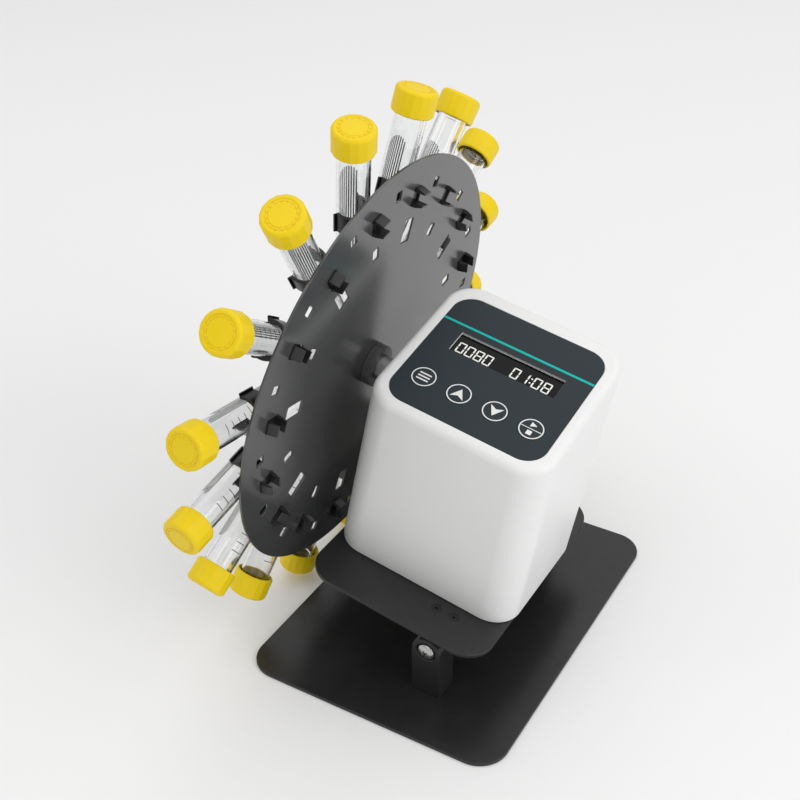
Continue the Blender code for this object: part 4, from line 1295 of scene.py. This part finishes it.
lines = []
for mark in range(15):
    height = cone_end + 0.0040 + mark * 0.0050
    half_sweep = math.radians(34 if mark % 5 == 0 else 19)
    lines.append((LINES_MIDDLE - half_sweep, LINES_MIDDLE + half_sweep, height, height + 0.00042))
tube_lines = printed_strips("tube_lines", lines, TUBE_RADIUS + INK_LIFT, INK_THICKNESS)
ribs = []
for rib in range(PATCH_RIBS):
    across = (rib - (PATCH_RIBS - 1) / 2) / (PATCH_RIBS / 2)
    middle = PATCH_MIDDLE + (rib - (PATCH_RIBS - 1) / 2) * RIB_PITCH
    top = PATCH_TOP - 0.0052 * (1 - math.sqrt(max(0.0, 1 - across * across)))
    ribs.append((middle - RIB_PITCH * 0.29, middle + RIB_PITCH * 0.29, PATCH_FOOT, top))
patch = printed_strips("writing_patch", ribs, TUBE_RADIUS + INK_LIFT, RIB_THICKNESS)
tube_places = [station @ Matrix.Translation((TUBE_AXIS_X, 0, 0)) for station in stations]
for number, place in enumerate(tube_places, 1):
    name, node = f"clear_tube_{number:02d}", f"capped_tube_{number:02d}"
    fit_piece(name, clear_tube, "rotor", place, [clear_plastic], [node])
    fit_piece(f"tube_lines_{number:02d}", tube_lines, "rotor", place, [tube_ink])
    fit_piece(f"writing_patch_{number:02d}", patch, "rotor", place, [patch_white])


# ----------------------------------------
# Caps. Sixteen yellow polypropylene screw caps with flat grip facets round the skirt, a bevelled
# shoulder and a low ring on top. They are hollow underneath.
CAP_RADIUS = 0.0110
CAP_FACETS = 16
CAP_SHOULDER = 0.0015
CAP_BORE = 0.0094
CAP_YELLOW = (0.860, 0.625, 0.004)
CAP_CEILING = TUBE_END - 0.0018
DASH_DEPTH = 0.00035
DASHED = 2


def screw_cap(name):
    """The cap, with its skirt flattened into facets and the rest round."""
    samples = (0.03, 0.11, 0.24, 0.26, 0.5, 0.74, 0.76, 0.89, 0.97)
    shares = [facet + share for facet in range(CAP_FACETS) for share in samples]
    angles = [2 * math.pi * share / CAP_FACETS for share in shares]
    half_facet = math.pi / CAP_FACETS
    low = TUBE_END - CAP_HEIGHT
    bevel = TUBE_END - CAP_SHOULDER
    levels = [
        (CAP_BORE * 0.5, CAP_CEILING, 0),
        (CAP_BORE, CAP_CEILING, 0),
        (CAP_BORE, low + 0.0004, 0),
        (CAP_BORE + 0.0003, low, 0),
        (CAP_RADIUS - 0.0009, low, 0),
        (CAP_RADIUS - 0.0004, low + 0.0003, 0.6),
        (CAP_RADIUS, low + 0.0009, 1),
        (CAP_RADIUS, bevel - 0.0006, 1),
        (CAP_RADIUS - 0.0003, bevel + 0.0003, 0.7),
        (CAP_RADIUS - 0.0011, TUBE_END - 0.0004, 0.1),
        (CAP_RADIUS - 0.0017, TUBE_END - 0.00015, 0),
        (CAP_RADIUS * 0.76, TUBE_END - 0.00015, 0),
        (CAP_RADIUS * 0.74, TUBE_END - 0.00045, 0),
        (CAP_RADIUS * 0.71, TUBE_END - 0.00050, 0),
        (CAP_RADIUS * 0.69, TUBE_END - 0.00005, DASHED),
        (CAP_RADIUS * 0.62, TUBE_END - 0.00005, DASHED),
        (CAP_RADIUS * 0.60, TUBE_END - 0.00040, 0),
        (CAP_RADIUS * 0.57, TUBE_END - 0.00010, 0),
        (CAP_RADIUS * 0.30, TUBE_END, 0),
    ]
    rows = [[(0, 0, CAP_CEILING)]]
    for radius, height, faceted in levels:
        row = []
        for angle in angles:
            from_middle = (angle % (2 * half_facet)) - half_facet
            flat = math.cos(half_facet) / math.cos(from_middle)
            reach = radius if faceted == DASHED else radius * (1 + faceted * (min(flat, 1.0) - 1))
            # The ring on top is broken into raised dashes, one to each facet.
            between = faceted == DASHED and abs(from_middle) > half_facet * 0.5
            row.append(around(reach, angle, height - (DASH_DEPTH if between else 0.0)))
        rows.append(row)
    return skinned(name, [*rows, [(0, 0, TUBE_END)]])


cap_yellow = grained_finish(
    "yellow_polypropylene",
    CAP_YELLOW,
    0.42,
    (0.00045, 0.25),
    0.03,
    0.05,
    (0.0005, 0.25, (0.90, 0.74, 0.16)),
    Specular_IOR_Level=0.28,
    Subsurface_Weight=0.04,
    Subsurface_Radius=(0.0016, 0.0010, 0.0003),
)
cap_mesh = smooth_round(screw_cap("screw_cap"), 32)
for number, place in enumerate(tube_places, 1):
    fit_piece(f"screw_cap_{number:02d}", cap_mesh, "rotor", place, [cap_yellow], ())


# ----------------------------------------
# Studio. A wide pale floor that runs out of view, one large soft light above, four smaller
# ones around it, an even sky, and the camera.
FLOOR_HALF = 6.0
floor_shape = bmesh.new()
bmesh.ops.create_grid(floor_shape, x_segments=8, y_segments=8, size=FLOOR_HALF)
floor_mesh = as_mesh("studio_floor", floor_shape)
floor_paint, _, floor_shader = new_finish("studio_floor_paint")
floor_shader.inputs["Base Color"].default_value = (0.86, 0.86, 0.86, 1)
floor_shader.inputs["Roughness"].default_value = 0.9
floor_shader.inputs["Specular IOR Level"].default_value = 0.1
floor_mesh.materials.append(floor_paint)
studio_floor = placed("studio_floor", floor_mesh)
studio_floor.location = (0, 0, -0.00005)

sky = bpy.data.worlds.new("studio_sky")
sky.use_nodes = True
sky_glow = sky.node_tree.nodes["Background"].inputs
sky_glow["Color"].default_value = (1.0, 1.0, 1.0, 1)
sky_glow["Strength"].default_value = 0.45
bpy.context.scene.world = sky

LIGHTS = [
    ("top_softbox", (0.0, 0.2, 3.0), 5.0, 66.0),
    ("right_softbox", (2.1, -0.1, 1.1), 1.6, 18.0),
    ("front_softbox", (0.2, -2.2, 1.3), 1.6, 4.5),
    ("left_softbox", (-2.0, -0.9, 1.2), 1.4, 6.0),
    ("rear_softbox", (-0.1, 2.3, 1.3), 1.8, 3.5),
]
AIM = Vector((-0.02, 0.0, 0.12))
for name, spot, size, power in LIGHTS:
    lamp = bpy.data.lights.new(name, "AREA")
    lamp.shape = "SQUARE"
    lamp.size = size
    lamp.energy = power
    holder = placed(name, lamp)
    holder.location = spot
    holder.rotation_mode = "QUATERNION"
    holder.rotation_quaternion = (AIM - Vector(spot)).to_track_quat("-Z", "Y")

CAMERA_SPOT = (0.2504, -0.4845, 0.4943)
CAMERA_RIGHT = Vector((0.8659, 0.5001, -0.0025))
CAMERA_DOWN = Vector((0.2804, -0.4896, -0.8257))
CAMERA_AHEAD = Vector((-0.4142, 0.7143, -0.5642))
camera = bpy.data.cameras.new("camera")
camera.sensor_width = 36
camera.lens = 55.30
camera.shift_x = -0.01435
camera.shift_y = 0.04
camera.clip_start = 0.01
camera.clip_end = 100
viewer = placed("camera", camera)
turn = Matrix((CAMERA_RIGHT, -CAMERA_DOWN, -CAMERA_AHEAD)).transposed()
viewer.matrix_world = Matrix.Translation(CAMERA_SPOT) @ turn.to_4x4()
bpy.context.scene.camera = viewer
bpy.context.scene.view_settings.view_transform = "Standard"
